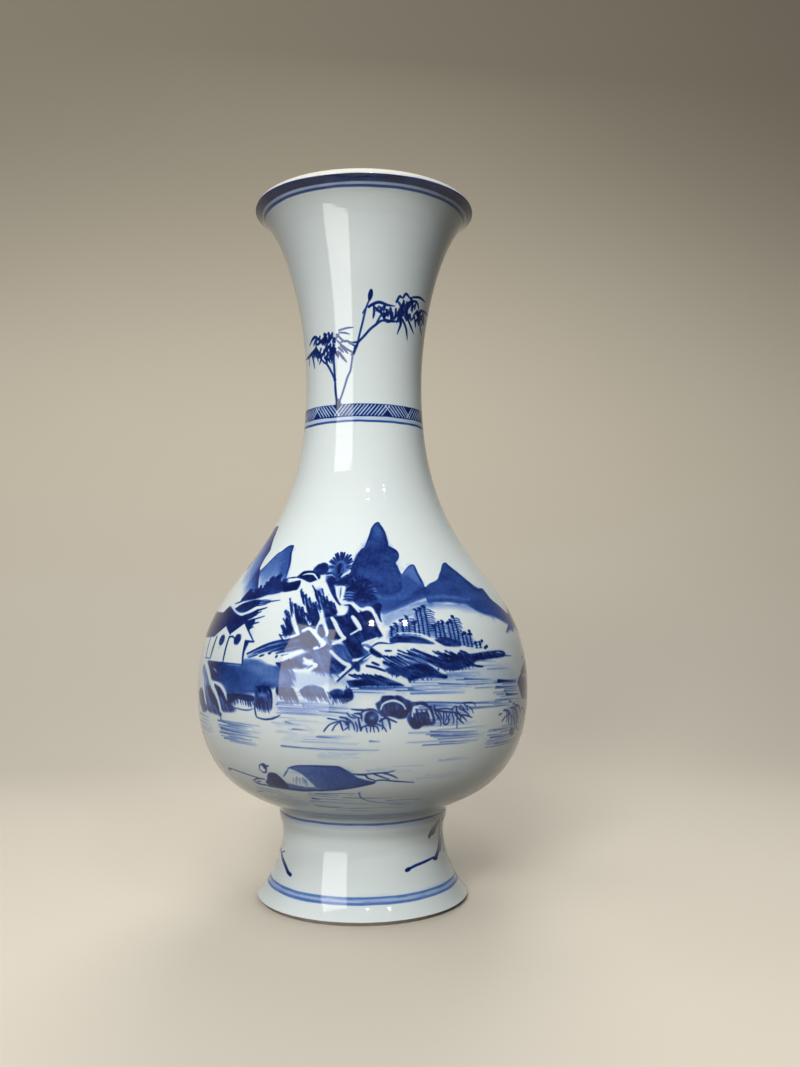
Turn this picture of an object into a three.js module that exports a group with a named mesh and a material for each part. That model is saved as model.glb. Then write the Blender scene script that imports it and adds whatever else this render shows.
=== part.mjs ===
// A flared-mouth porcelain vase, as the potter builds it: a trumpet neck, a shoulder, a
// bowl and a splayed foot are thrown apart, trimmed, and luted with thin seams of slip.
// Millimetres, +Z up, the origin in the middle of the ring that the vase stands on.
import * as THREE from 'three';

// Heights of the stations along the wall, from the table up
const LIP_TOP = 250;
const WAIST_HEIGHT = 183;
const NECK_SEAM = 170;
const BELLY_SEAM = 74;
const FOOT_SEAM = 31.4;
const FOOT_WAIST_HEIGHT = 23;
const FOOT_BEVEL_HEIGHT = 1.5;

// Outer radii at those stations
const LIP_RADIUS = 40.1;
const WAIST_RADIUS = 21.2;
const BELLY_RADIUS = 59.1;
const FOOT_JOINT_RADIUS = 30;
const FOOT_WAIST_RADIUS = 28.65;
const FOOT_RADIUS = 37.3;

// Wall thicknesses
const LIP_WALL = 5.6;
const LIP_ROUND_HEIGHT = 2.6;
const NECK_WALL = 3.2;
const BODY_WALL = 4.4;
const FLOOR_WALL = 5.4;
const FOOT_WALL = 4;

// How far each smooth run of the wall reaches along its end directions before it turns
const BELLY_REACH = 45.4;
const WAIST_REACH_DOWN = 70;
const WAIST_REACH_UP = 29.9;
const LIP_REACH_IN = 9.1;
const LIP_REACH_DOWN = 4.4;
const BOWL_REACH = 38.3;
const UNDERSIDE_REACH_OUT = 1;
const UNDERSIDE_REACH_UP = 5.4;
const FLOOR_REACH = 36;
const FOOT_REACH_DOWN = 3;
const FOOT_REACH_IN = 6.9;
const FOOT_REACH_UP = 7.8;
const FOOT_TOP_REACH = 5;

// The unglazed bevel and the flat ring at the very bottom of the foot
const FOOT_BEVEL_WIDTH = 1.3;

// The slip that joins two sections, and the bead it leaves on the inner side of the wall
const SLIP_THICKNESS = 0.6;
const BEAD_HEIGHT = 2.6;
const BEAD_DEPTH = 1.1;
const BEAD_CLEARANCE = 0.3;

// Steps round the axis, along a long and a short run of wall, and round a lip or a bead
const TURN_STEPS = 48;
const LONG_STEPS = 12;
const SHORT_STEPS = 7;
const ROUND_STEPS = 6;

const at = (radius, height) => new THREE.Vector2(radius, height);

// A smooth run of wall from low to high, with one handle at each end
const run = (low, lowHandle, highHandle, high) =>
  new THREE.CubicBezierCurve(low, lowHandle, highHandle, high);

// Outer line, from the foot's bevel to the widest part of the lip
const lipWidestHeight = LIP_TOP - LIP_ROUND_HEIGHT;
const outerFoot = run(
  at(FOOT_RADIUS, FOOT_BEVEL_HEIGHT),
  at(FOOT_RADIUS - FOOT_REACH_IN, FOOT_BEVEL_HEIGHT + FOOT_REACH_UP),
  at(FOOT_WAIST_RADIUS, FOOT_WAIST_HEIGHT - FOOT_REACH_DOWN),
  at(FOOT_WAIST_RADIUS, FOOT_WAIST_HEIGHT),
);
const outerFootTop = run(
  at(FOOT_WAIST_RADIUS, FOOT_WAIST_HEIGHT),
  at(FOOT_WAIST_RADIUS, FOOT_WAIST_HEIGHT + FOOT_TOP_REACH),
  at(FOOT_JOINT_RADIUS, FOOT_SEAM - FOOT_TOP_REACH),
  at(FOOT_JOINT_RADIUS, FOOT_SEAM),
);
const outerBowl = run(
  at(FOOT_JOINT_RADIUS, FOOT_SEAM),
  at(FOOT_JOINT_RADIUS + UNDERSIDE_REACH_OUT, FOOT_SEAM + UNDERSIDE_REACH_UP),
  at(BELLY_RADIUS, BELLY_SEAM - BOWL_REACH),
  at(BELLY_RADIUS, BELLY_SEAM),
);
const outerShoulder = run(
  at(BELLY_RADIUS, BELLY_SEAM),
  at(BELLY_RADIUS, BELLY_SEAM + BELLY_REACH),
  at(WAIST_RADIUS, WAIST_HEIGHT - WAIST_REACH_DOWN),
  at(WAIST_RADIUS, WAIST_HEIGHT),
);
const outerTrumpet = run(
  at(WAIST_RADIUS, WAIST_HEIGHT),
  at(WAIST_RADIUS, WAIST_HEIGHT + WAIST_REACH_UP),
  at(LIP_RADIUS - LIP_REACH_IN, lipWidestHeight - LIP_REACH_DOWN),
  at(LIP_RADIUS, lipWidestHeight),
);

// Inner line, the same stations a wall's thickness further in
const innerFootRadius = FOOT_RADIUS - FOOT_BEVEL_WIDTH - FOOT_WALL;
const innerFoot = run(
  at(innerFootRadius, 0),
  at(innerFootRadius - FOOT_REACH_IN, FOOT_REACH_UP),
  at(FOOT_WAIST_RADIUS - FOOT_WALL, FOOT_WAIST_HEIGHT - FOOT_REACH_DOWN),
  at(FOOT_WAIST_RADIUS - FOOT_WALL, FOOT_WAIST_HEIGHT),
);
const innerFootTop = run(
  at(FOOT_WAIST_RADIUS - FOOT_WALL, FOOT_WAIST_HEIGHT),
  at(FOOT_WAIST_RADIUS - FOOT_WALL, FOOT_WAIST_HEIGHT + FOOT_TOP_REACH),
  at(FOOT_JOINT_RADIUS - FOOT_WALL, FOOT_SEAM - FOOT_TOP_REACH),
  at(FOOT_JOINT_RADIUS - FOOT_WALL, FOOT_SEAM),
);
const floorHeight = FOOT_SEAM + SLIP_THICKNESS / 2 + FLOOR_WALL;
const innerBowl = run(
  at(0, floorHeight),
  at(FLOOR_REACH, floorHeight),
  at(BELLY_RADIUS - BODY_WALL, BELLY_SEAM - BOWL_REACH + FLOOR_WALL),
  at(BELLY_RADIUS - BODY_WALL, BELLY_SEAM),
);
const innerShoulder = run(
  at(BELLY_RADIUS - BODY_WALL, BELLY_SEAM),
  at(BELLY_RADIUS - BODY_WALL, BELLY_SEAM + BELLY_REACH),
  at(WAIST_RADIUS - NECK_WALL, WAIST_HEIGHT - WAIST_REACH_DOWN),
  at(WAIST_RADIUS - NECK_WALL, WAIST_HEIGHT),
);
const innerTrumpet = run(
  at(WAIST_RADIUS - NECK_WALL, WAIST_HEIGHT),
  at(WAIST_RADIUS - NECK_WALL, WAIST_HEIGHT + WAIST_REACH_UP),
  at(LIP_RADIUS - LIP_WALL / 2 - LIP_REACH_IN, LIP_TOP - LIP_REACH_DOWN),
  at(LIP_RADIUS - LIP_WALL / 2, LIP_TOP),
);

// Where a rising run passes a height, found by halving
function passing(curve, height) {
  let low = 0;
  let high = 1;
  for (let i = 0; i < 50; i += 1) {
    const middle = (low + high) / 2;
    if (curve.getPoint(middle).y < height) low = middle;
    else high = middle;
  }
  return (low + high) / 2;
}

// The stretch of a run between two heights, with its ends exactly at those heights
function stretch(curve, low, high, steps) {
  const from = low <= curve.getPoint(0).y ? 0 : passing(curve, low);
  const to = high >= curve.getPoint(1).y ? 1 : passing(curve, high);
  const points = [];
  for (let i = 0; i <= steps; i += 1) {
    points.push(curve.getPoint(from + ((to - from) * i) / steps));
  }
  if (from > 0) points[0].y = low;
  if (to < 1) points[steps].y = high;
  return points;
}

// One line from several stretches, each given from its low end to its high end
const joined = (...stretches) => stretches.flatMap((s, i) => (i ? s.slice(1) : s));

// The lip's rounded edge, from its widest line up to its top, taller than it is deep
function lipRound() {
  const centre = at(LIP_RADIUS - LIP_WALL / 2, lipWidestHeight);
  const points = [];
  for (let i = 0; i <= ROUND_STEPS; i += 1) {
    const turn = (Math.PI / 2) * (i / ROUND_STEPS);
    points.push(at(centre.x + (LIP_WALL / 2) * Math.cos(turn), centre.y + LIP_ROUND_HEIGHT * Math.sin(turn)));
  }
  return points;
}

// A closed section turned once round the axis
function turned(name, section, material) {
  const closed = [...section, section[0].clone()];
  const geometry = new THREE.LatheGeometry(closed, TURN_STEPS);
  geometry.rotateX(Math.PI / 2);
  const mesh = new THREE.Mesh(geometry, material);
  mesh.name = name;
  return mesh;
}

const glazed = new THREE.MeshStandardMaterial({ color: 0xdfe6e6, roughness: 0.12, metalness: 0 });
const slip = new THREE.MeshStandardMaterial({ color: 0xcfcac0, roughness: 0.8, metalness: 0 });

// The trumpet neck, from the seam under the painted band up to the rounded lip
function trumpetNeck() {
  const bottom = NECK_SEAM + SLIP_THICKNESS / 2;
  const outer = joined(
    stretch(outerShoulder, bottom, WAIST_HEIGHT, 3),
    stretch(outerTrumpet, WAIST_HEIGHT, lipWidestHeight, LONG_STEPS),
    lipRound(),
  );
  const inner = joined(
    stretch(innerShoulder, bottom, WAIST_HEIGHT, 3),
    stretch(innerTrumpet, WAIST_HEIGHT, LIP_TOP, LONG_STEPS),
  );
  return turned('trumpet_neck', [...outer, ...inner.reverse().slice(1)], glazed);
}

// The shoulder, the upper half of the pear-shaped body
function shoulder() {
  const bottom = BELLY_SEAM + SLIP_THICKNESS / 2;
  const top = NECK_SEAM - SLIP_THICKNESS / 2;
  const outer = stretch(outerShoulder, bottom, top, LONG_STEPS);
  const inner = stretch(innerShoulder, bottom, top, LONG_STEPS);
  return turned('shoulder', [...outer, ...inner.reverse()], glazed);
}

// The bowl, the lower half of the body, closed by the vase's floor
function bowl() {
  const bottom = FOOT_SEAM + SLIP_THICKNESS / 2;
  const top = BELLY_SEAM - SLIP_THICKNESS / 2;
  const outer = stretch(outerBowl, bottom, top, LONG_STEPS);
  const inner = stretch(innerBowl, floorHeight, top, LONG_STEPS);
  return turned('bowl', [at(0, bottom), ...outer, ...inner.reverse()], glazed);
}

// The hollow splayed foot, with its unglazed bevel and flat standing ring
function foot() {
  const top = FOOT_SEAM - SLIP_THICKNESS / 2;
  const outer = joined(
    stretch(outerFoot, FOOT_BEVEL_HEIGHT, FOOT_WAIST_HEIGHT, SHORT_STEPS),
    stretch(outerFootTop, FOOT_WAIST_HEIGHT, top, SHORT_STEPS),
  );
  const inner = joined(
    stretch(innerFoot, 0, FOOT_WAIST_HEIGHT, SHORT_STEPS),
    stretch(innerFootTop, FOOT_WAIST_HEIGHT, top, SHORT_STEPS),
  );
  return turned('foot', [at(FOOT_RADIUS - FOOT_BEVEL_WIDTH, 0), ...outer, ...inner.reverse()], glazed);
}

// A seam of slip at a height, between the wall's two faces, with its bead on the inner side
function slipSeam(name, height, outerRadius, innerRadius, beadBelow, beadAbove) {
  const half = SLIP_THICKNESS / 2;
  const face = innerRadius - BEAD_CLEARANCE;
  const section = [at(outerRadius, height - half), at(outerRadius, height + half), at(face, height + half)];
  for (let i = 0; i <= ROUND_STEPS; i += 1) {
    const turn = Math.PI / 2 - (Math.PI * i) / ROUND_STEPS;
    const reach = turn > 0 ? beadAbove : beadBelow;
    const point = at(face - BEAD_DEPTH * Math.cos(turn), height + reach * Math.sin(turn));
    if (point.distanceTo(section.at(-1)) > BEAD_CLEARANCE / 2) section.push(point);
  }
  section.push(at(face, height - half));
  return turned(name, section, slip);
}

const radiusAt = (curve, height) => curve.getPoint(passing(curve, height)).x;

const vase = new THREE.Group();
vase.add(
  trumpetNeck(),
  slipSeam('neck_slip_seam', NECK_SEAM, radiusAt(outerShoulder, NECK_SEAM),
    radiusAt(innerShoulder, NECK_SEAM), BEAD_HEIGHT / 2, BEAD_HEIGHT / 2),
  shoulder(),
  slipSeam('belly_slip_seam', BELLY_SEAM, BELLY_RADIUS, BELLY_RADIUS - BODY_WALL,
    BEAD_HEIGHT / 2, BEAD_HEIGHT / 2),
  bowl(),
  slipSeam('foot_slip_seam', FOOT_SEAM, FOOT_JOINT_RADIUS, FOOT_JOINT_RADIUS - FOOT_WALL,
    BEAD_HEIGHT / 2, SLIP_THICKNESS / 2),
  foot(),
);

export default vase;
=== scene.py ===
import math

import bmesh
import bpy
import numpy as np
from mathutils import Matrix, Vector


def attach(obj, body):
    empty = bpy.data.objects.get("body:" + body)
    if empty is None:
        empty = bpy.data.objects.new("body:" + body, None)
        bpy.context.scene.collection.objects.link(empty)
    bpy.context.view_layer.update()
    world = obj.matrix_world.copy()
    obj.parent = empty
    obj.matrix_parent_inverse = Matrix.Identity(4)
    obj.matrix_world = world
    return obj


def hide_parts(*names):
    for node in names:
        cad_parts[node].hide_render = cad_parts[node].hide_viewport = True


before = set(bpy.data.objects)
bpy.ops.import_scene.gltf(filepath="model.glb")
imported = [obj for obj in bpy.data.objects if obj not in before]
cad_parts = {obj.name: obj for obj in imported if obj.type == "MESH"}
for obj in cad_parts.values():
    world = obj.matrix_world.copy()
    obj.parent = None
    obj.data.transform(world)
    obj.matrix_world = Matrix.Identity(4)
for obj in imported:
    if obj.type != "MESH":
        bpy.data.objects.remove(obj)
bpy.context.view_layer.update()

# %% [markdown]
# # A flared-mouth porcelain vase
#
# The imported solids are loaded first, and everything that follows stands in their frame: metres,
# +Z up, the origin in the middle of the ring that the vase stands on. The vase is one body of
# revolution, thrown in sections: trumpet neck, shoulder, bowl and foot, joined with slip. Each
# section becomes one piece here, made by spinning its outline, and painted under a clear glaze.

MM = 0.001

# %% [markdown]
# ## Camera
#
# The picture was taken from close by, about level with the upper body and looking slightly up,
# so the lip shows as an arch seen from below and the foot's ring as a bowl-shaped curve. A lens
# as wide as the real one gives the same strong curves. The aim goes a little to the right of
# the vase, which leaves it left of the middle.

# %% Camera
CAMERA_PLACE = Vector((0.0, -372.7, 108.5)) * MM
CAMERA_PITCH = math.radians(3.20)
CAMERA_YAW = math.radians(2.04)
LENS = 34.39

camera_data = bpy.data.cameras.new("camera")
camera_data.lens = LENS
camera_data.sensor_width = 36.0
camera_data.clip_start = 0.01
camera_data.clip_end = 20.0
camera = bpy.data.objects.new("camera", camera_data)
camera.location = CAMERA_PLACE
camera.rotation_euler = (math.pi / 2 + CAMERA_PITCH, 0.0, -CAMERA_YAW)
bpy.context.scene.collection.objects.link(camera)
bpy.context.scene.camera = camera
bpy.context.scene.view_settings.view_transform = "Standard"
print("camera", [round(c, 4) for c in camera.location], "lens", LENS)

# %% [markdown]
# ## The wall's line
#
# A thrown wall is a chain of smooth curves, so the outline is drawn with the same few cubic runs
# as the solids: a height and radius at each end, and a handle that says how far the curve keeps
# its direction. Each run is sampled finely, and the radius at any height is read off the line.

# %% Outline of the vase, in millimetres
LIP_TOP, WAIST_HEIGHT, NECK_SEAM, BELLY_SEAM, FOOT_SEAM = 250.0, 183.0, 170.0, 74.0, 31.4
FOOT_WAIST_HEIGHT, FOOT_BEVEL_HEIGHT = 23.0, 1.5
LIP_RADIUS, WAIST_RADIUS, BELLY_RADIUS = 40.1, 21.2, 59.1
FOOT_JOINT_RADIUS, FOOT_WAIST_RADIUS, FOOT_RADIUS = 30.0, 28.65, 37.3
LIP_WALL, NECK_WALL, BODY_WALL, FLOOR_WALL, FOOT_WALL = 5.6, 3.2, 4.4, 5.4, 4.0
FOOT_BEVEL_WIDTH, SLIP_THICKNESS, LIP_ROUND_HEIGHT = 1.3, 0.6, 2.6
LIP_WIDEST = LIP_TOP - LIP_ROUND_HEIGHT
LIP_STEPS, LIP_OUTSIDE_STEPS = 40, 28      # points round the lip, and how many of them face outward
# how far each run keeps the direction of its end before it turns
BELLY_REACH, WAIST_REACH_DOWN, WAIST_REACH_UP = 45.4, 70.0, 29.9
LIP_REACH_IN, LIP_REACH_DOWN, BOWL_REACH, FLOOR_REACH = 9.1, 4.4, 38.3, 36.0
UNDERSIDE_REACH_OUT, UNDERSIDE_REACH_UP = 1.0, 5.4
FOOT_REACH_IN, FOOT_REACH_UP, FOOT_REACH_DOWN, FOOT_TOP_REACH = 6.9, 7.8, 3.0, 5.0


def smooth_run(low, low_handle, high_handle, high, steps=900):
    """A cubic run from low to high as an array of (radius, height)."""
    t = np.linspace(0.0, 1.0, steps)[:, None]
    low, low_handle, high_handle, high = map(np.array, (low, low_handle, high_handle, high))
    return ((1 - t) ** 3 * low + 3 * (1 - t) ** 2 * t * low_handle
            + 3 * (1 - t) * t ** 2 * high_handle + t ** 3 * high)


def chain(*runs):
    """Runs joined end to end, without their shared points."""
    return np.vstack([runs[0]] + [r[1:] for r in runs[1:]])


def foot_runs(bottom, waist, joint):
    """Both runs of the foot's wall, from the (radius, height) at its bottom to its joint."""
    return chain(
        smooth_run(bottom, (bottom[0] - FOOT_REACH_IN, bottom[1] + FOOT_REACH_UP),
                   (waist, FOOT_WAIST_HEIGHT - FOOT_REACH_DOWN), (waist, FOOT_WAIST_HEIGHT)),
        smooth_run((waist, FOOT_WAIST_HEIGHT), (waist, FOOT_WAIST_HEIGHT + FOOT_TOP_REACH),
                   (joint, FOOT_SEAM - FOOT_TOP_REACH), (joint, FOOT_SEAM)))


def upper_runs(belly, waist, lip, lip_height):
    """Both runs of the upper wall, from the belly by the waist to the lip."""
    return chain(
        smooth_run((belly, BELLY_SEAM), (belly, BELLY_SEAM + BELLY_REACH),
                   (waist, WAIST_HEIGHT - WAIST_REACH_DOWN), (waist, WAIST_HEIGHT)),
        smooth_run((waist, WAIST_HEIGHT), (waist, WAIST_HEIGHT + WAIST_REACH_UP),
                   (lip - LIP_REACH_IN, lip_height - LIP_REACH_DOWN), (lip, lip_height)))


lip_turns = np.linspace(0.0, math.pi / 2, LIP_STEPS)
lip_middle = LIP_RADIUS - LIP_WALL / 2
lip_round = np.column_stack([lip_middle + LIP_WALL / 2 * np.cos(lip_turns),
                             LIP_WIDEST + LIP_ROUND_HEIGHT * np.sin(lip_turns)])
OUTER_LINE = chain(
    foot_runs((FOOT_RADIUS, FOOT_BEVEL_HEIGHT), FOOT_WAIST_RADIUS, FOOT_JOINT_RADIUS),
    smooth_run((FOOT_JOINT_RADIUS, FOOT_SEAM),
               (FOOT_JOINT_RADIUS + UNDERSIDE_REACH_OUT, FOOT_SEAM + UNDERSIDE_REACH_UP),
               (BELLY_RADIUS, BELLY_SEAM - BOWL_REACH), (BELLY_RADIUS, BELLY_SEAM)),
    upper_runs(BELLY_RADIUS, WAIST_RADIUS, LIP_RADIUS, LIP_WIDEST),
    lip_round[:LIP_OUTSIDE_STEPS])
floor_height = FOOT_SEAM + SLIP_THICKNESS / 2 + FLOOR_WALL
inner_belly = BELLY_RADIUS - BODY_WALL
INNER_LINE = chain(
    smooth_run((0.0, floor_height), (FLOOR_REACH, floor_height),
               (inner_belly, BELLY_SEAM - BOWL_REACH + FLOOR_WALL), (inner_belly, BELLY_SEAM)),
    upper_runs(inner_belly, WAIST_RADIUS - NECK_WALL, lip_middle, LIP_TOP))
FOOT_INNER_LINE = foot_runs((FOOT_RADIUS - FOOT_BEVEL_WIDTH - FOOT_WALL, 0.0),
                            FOOT_WAIST_RADIUS - FOOT_WALL, FOOT_JOINT_RADIUS - FOOT_WALL)


def radius_at(line, height):
    """Radius of the line at a height."""
    return np.interp(height, line[:, 1], line[:, 0])


print("girth: belly", round(math.tau * BELLY_RADIUS), "mm, waist", round(math.tau * WAIST_RADIUS), "mm")

# %% [markdown]
# ## The painter's plane
#
# The decoration is cobalt, brushed on the raw body before the clear glaze. It could be modelled
# as thin shapes, but real cobalt soaks in and has no thickness. So it is painted here, stroke by
# stroke, on an unrolled picture of the wall, and its strength is later handed to the mesh as an
# attribute. The plane is unrolled so that shapes keep their angles: across it runs the angle
# round the axis, and up it the wall's climb divided by its radius, so a round dab stays round.

# %% Unrolled plane of cobalt strength
TURN_DOTS = 3072
DOT = math.tau / TURN_DOTS
wall_r, wall_z = OUTER_LINE[:, 0], OUTER_LINE[:, 1]
wall_steps = np.hypot(np.diff(wall_r), np.diff(wall_z)) / ((wall_r[1:] + wall_r[:-1]) / 2)
wall_climb = np.concatenate([[0.0], np.cumsum(wall_steps)])
cobalt = np.zeros((int(wall_climb[-1] / DOT) + 2, TURN_DOTS), np.float32)
rng = np.random.default_rng(11)
BODY, NECK, FOOT = BELLY_RADIUS, 22.0, FOOT_JOINT_RADIUS    # girth on which a motif's mm are measured
easel = [0.0, 0.0, 1.0]     # where a motif is laid: mm round, mm up, and -1 to mirror it
OVERLAP = 0.3               # how much of the lighter of two tones adds to the darker


def place(points, girth=BODY):
    """(mm round, mm up) as dots of the plane, and how many dots a millimetre is there."""
    points = np.atleast_2d(np.array(points, float))
    around, height = easel[0] + easel[2] * points[:, 0], easel[1] + points[:, 1]
    across = (around / girth + math.pi) / DOT
    up = np.interp(height, wall_z, wall_climb) / DOT
    return np.column_stack([across, up]), 1 / (radius_at(OUTER_LINE, height) * DOT)


def rounded(points, per=6):
    """A curve through the points of a stroke."""
    p = np.array(points, float)
    if len(p) < 3:
        return p[0] + (p[-1] - p[0]) * np.linspace(0, 1, per + 1)[:, None]
    q = np.vstack([2 * p[0] - p[1], p, 2 * p[-1] - p[-2]])
    t = np.linspace(0, 1, per, endpoint=False)[:, None]
    runs = [0.5 * (2 * b + (c - a) * t + (2 * a - 5 * b + 4 * c - d) * t ** 2
                   + (3 * b - a - 3 * c + d) * t ** 3)
            for a, b, c, d in zip(q, q[1:], q[2:], q[3:])]
    return np.vstack(runs + [p[-1:]])


def lay(x0, y0, tone, lift=False):
    """Puts a patch of tone on the plane, a little darker over paint, or lifts paint off again."""
    top = min(y0 + tone.shape[0], cobalt.shape[0])
    cut = max(0, -y0)
    up, across = slice(y0 + cut, top), np.arange(x0, x0 + tone.shape[1]) % TURN_DOTS
    under, tone = cobalt[up][:, across], tone[cut:top - y0]
    if lift:
        cobalt[up, across] = under * (1 - tone)
    else:
        more, less = np.maximum(under, tone), np.minimum(under, tone)
        cobalt[up, across] = more + OVERLAP * less * (1 - more)


print("plane", cobalt.shape[1], "x", cobalt.shape[0], "dots,", round(BODY * DOT, 2), "mm a dot at the belly")

# %% [markdown]
# ## Brushes
#
# A stroke is a curved path with a width that swells in the middle and thins at the ends, as a
# pointed brush does when it is pressed and lifted. A wash fills a closed shape and dries a
# little unevenly. Laid with lift, the same brush takes paint off, which leaves the white folds.

# %% Stroke
def brush(points, width, tone=0.9, ends=(0.5, 0.25), fade=(1.0, 1.0), girth=BODY, soft=0.17, lift=False,
        per=6):
    """One stroke: width in mm at its middle, its two ends as shares of that, tone fading to fade."""
    path, scale = place(rounded(points, per), girth)
    t = np.linspace(0, 1, len(path))
    swell, first = np.sin(t * math.pi), t < 0.5
    half = width / 2 * scale * np.where(first, ends[0] + (1 - ends[0]) * swell,
        ends[1] + (1 - ends[1]) * swell)
    strength = tone * np.where(first, fade[0] + (1 - fade[0]) * 2 * t, fade[1] + (1 - fade[1]) * 2 * (1 - t))
    edge = max(0.7, soft * scale.mean())
    pad = half.max() + edge + 1
    x0, y0 = np.floor(path.min(0) - pad).astype(int)
    x1, y1 = np.ceil(path.max(0) + pad).astype(int)
    ys, xs = np.mgrid[y0:y1, x0:x1].astype(np.float32)
    best = np.zeros(ys.shape, np.float32)
    for i in range(len(path) - 1):
        a, b = path[i], path[i + 1]
        low = np.maximum(np.floor(np.minimum(a, b) - pad).astype(int) - (x0, y0), 0)
        top = np.ceil(np.maximum(a, b) + pad).astype(int) - (x0, y0)
        near = (slice(low[1], top[1]), slice(low[0], top[0]))
        d, sx, sy = b - a, xs[near], ys[near]
        u = np.clip(((sx - a[0]) * d[0] + (sy - a[1]) * d[1]) / max(d @ d, 1e-9), 0, 1)
        away = np.hypot(sx - a[0] - u * d[0], sy - a[1] - u * d[1])
        cover = np.clip((half[i] + (half[i + 1] - half[i]) * u - away) / edge + 0.5, 0, 1)
        best[near] = np.maximum(best[near], cover * (strength[i] + (strength[i + 1] - strength[i]) * u))
    lay(x0, y0, best, lift)


def strokes(lines, tone=0.85, ends=(0.5, 0.25), **more):
    """Many strokes of (points, width)."""
    for points, width in lines:
        brush(points, width, tone, ends, **more)


print("stroke: a millimetre is", round(float(place([(0, BELLY_SEAM)])[1][0]), 1), "dots at the belly")

# %% Wash
def soften(patch, reach):
    """A box blur of reach dots, laid twice each way."""
    for _ in range(2):
        for axis in (0, 1):
            edge = [(reach + 1, reach) if k == axis else (0, 0) for k in (0, 1)]
            total = np.moveaxis(np.cumsum(np.pad(patch, edge, mode="edge"), axis=axis), axis, 0)
            patch = np.moveaxis((total[2 * reach + 1:] - total[:-2 * reach - 1]) / (2 * reach + 1), 0, axis)
    return patch


def cloudy(high, wide, cell_up, cell_across):
    """Smooth chance values from -1 to 1, for the way a wash dries."""
    g = rng.uniform(-1, 1, (int(high / cell_up) + 3, int(wide / cell_across) + 3))
    y, x = np.arange(high) / cell_up, np.arange(wide) / cell_across
    i, j = y.astype(int), x.astype(int)
    fy, fx = (y - i)[:, None], (x - j)[None]
    fy, fx = fy * fy * (3 - 2 * fy), fx * fx * (3 - 2 * fx)
    return ((g[i][:, j] * (1 - fx) + g[i][:, j + 1] * fx) * (1 - fy)
            + (g[i + 1][:, j] * (1 - fx) + g[i + 1][:, j + 1] * fx) * fy)


MARKS_CELLS = 64      # the chance values repeat after that many cells


def marks(v, u):
    """Smooth chance values from -1 to 1 at any place (v, u)."""
    g = rng.uniform(-1, 1, (MARKS_CELLS, MARKS_CELLS))
    v, u = v - v.min(), u - u.min()
    i, j = v.astype(int), u.astype(int)
    fv, fu = v - i, u - j
    fv, fu = fv * fv * (3 - 2 * fv), fu * fu * (3 - 2 * fu)

    def at(a, b):
        return g[(i + a) % MARKS_CELLS, (j + b) % MARKS_CELLS]

    return (at(0, 0) * (1 - fu) + at(0, 1) * fu) * (1 - fv) + (at(1, 0) * (1 - fu) + at(1, 1) * fu) * fv


def wash(points, tone, ramp=None, soft=0.3, uneven=0.1, girth=BODY, bent=True, lift=False, grain=None):
    """A filled shape; ramp = (point, tone, point, tone) grades it, grain = (way, amount) streaks it."""
    p = np.array(points, float)
    path, scale = place(rounded(np.vstack([p, p[:1]]), 5) if bent else p, girth)
    s = scale.mean()
    pad = int(soft * s * 3) + 3
    x0, y0 = np.floor(path.min(0)).astype(int) - pad
    x1, y1 = np.ceil(path.max(0)).astype(int) + pad
    xs, ys = np.arange(x0, x1) + 0.0, np.arange(y0, y1) + 0.0
    inside = np.zeros((len(ys), len(xs)), bool)
    for (ax, ay), (bx, by) in zip(path, np.roll(path, -1, 0)):
        rows_hit = (ys >= min(ay, by)) & (ys < max(ay, by))
        if rows_hit.any():
            crossing = ax + (ys[rows_hit] - ay) * (bx - ax) / (by - ay)
            inside[rows_hit] ^= xs[None] > crossing[:, None]
    area = soften(inside.astype(np.float32), max(1, int(round(soft * s / 2))))
    level = tone
    if ramp:
        (a, b), _ = place([ramp[0], ramp[2]], girth)
        u = ((xs[None] - a[0]) * (b - a)[0] + (ys[:, None] - a[1]) * (b - a)[1]) / ((b - a) @ (b - a))
        level = ramp[1] + (ramp[3] - ramp[1]) * np.clip(u, 0, 1)
    broad, fine = cloudy(*area.shape, 2.6 * s, 7 * s), cloudy(*area.shape, 0.7 * s, 1.6 * s)
    level = level * (1 + uneven * broad + 0.5 * uneven * fine)
    if grain:
        way = math.radians(grain[0] if easel[2] > 0 else 180 - grain[0])
        along = xs[None] * math.cos(way) + ys[:, None] * math.sin(way)
        over = ys[:, None] * math.cos(way) - xs[None] * math.sin(way)
        coarse, fine = marks(over / (0.5 * s), along / (3.2 * s)), marks(over / (0.3 * s), along / (1.5 * s))
        level = level * (1 + grain[1] * (coarse + 0.5 * fine))
    lay(x0, y0, (area * np.clip(level, 0, 1)).astype(np.float32), lift)


print("wash: chance values repeat after", MARKS_CELLS, "cells")


# %% [markdown]
# ## Ways of brushing
#
# The painter repeats a few habits: fringes of short strokes that hang from an edge, steep
# strokes side by side, a hill's wash that thins toward its foot, dabs for leaves, needles that
# fan out from a dark heart, and straight small trees. Each could be painted out stroke by stroke,
# but one small function of the two brushes says the habit once and keeps its chance unevenness.

# %% Fringes, hills, leaves, needles and trees
def reach_at(way, long):
    """A step of long mm at way degrees."""
    return long * np.array([math.cos(math.radians(way)), math.sin(math.radians(way))])


def fringe(top, way, long, count, width=0.45, tone=0.88, stray=0.2, ends=(1.0, 0.3), fade=(1.0, 0.9),
        stagger=0.0):
    """count strokes, long mm each, that hang from a line at way degrees; stagger starts some above it."""
    line, step = rounded(top, 12), reach_at(way, long)
    for k in range(count):
        p = line[int((k + 0.5) / count * (len(line) - 1))] + rng.normal(0, stray, 2)
        p = p - step * rng.uniform(0, stagger / long)
        q = p + step * rng.uniform(0.7, 1.2)
        brush([p, (p + q) / 2 + rng.normal(0, 0.1, 2), q], width * rng.uniform(0.8, 1.25),
              tone * rng.uniform(0.88, 1.06), ends, fade, per=3)


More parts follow.
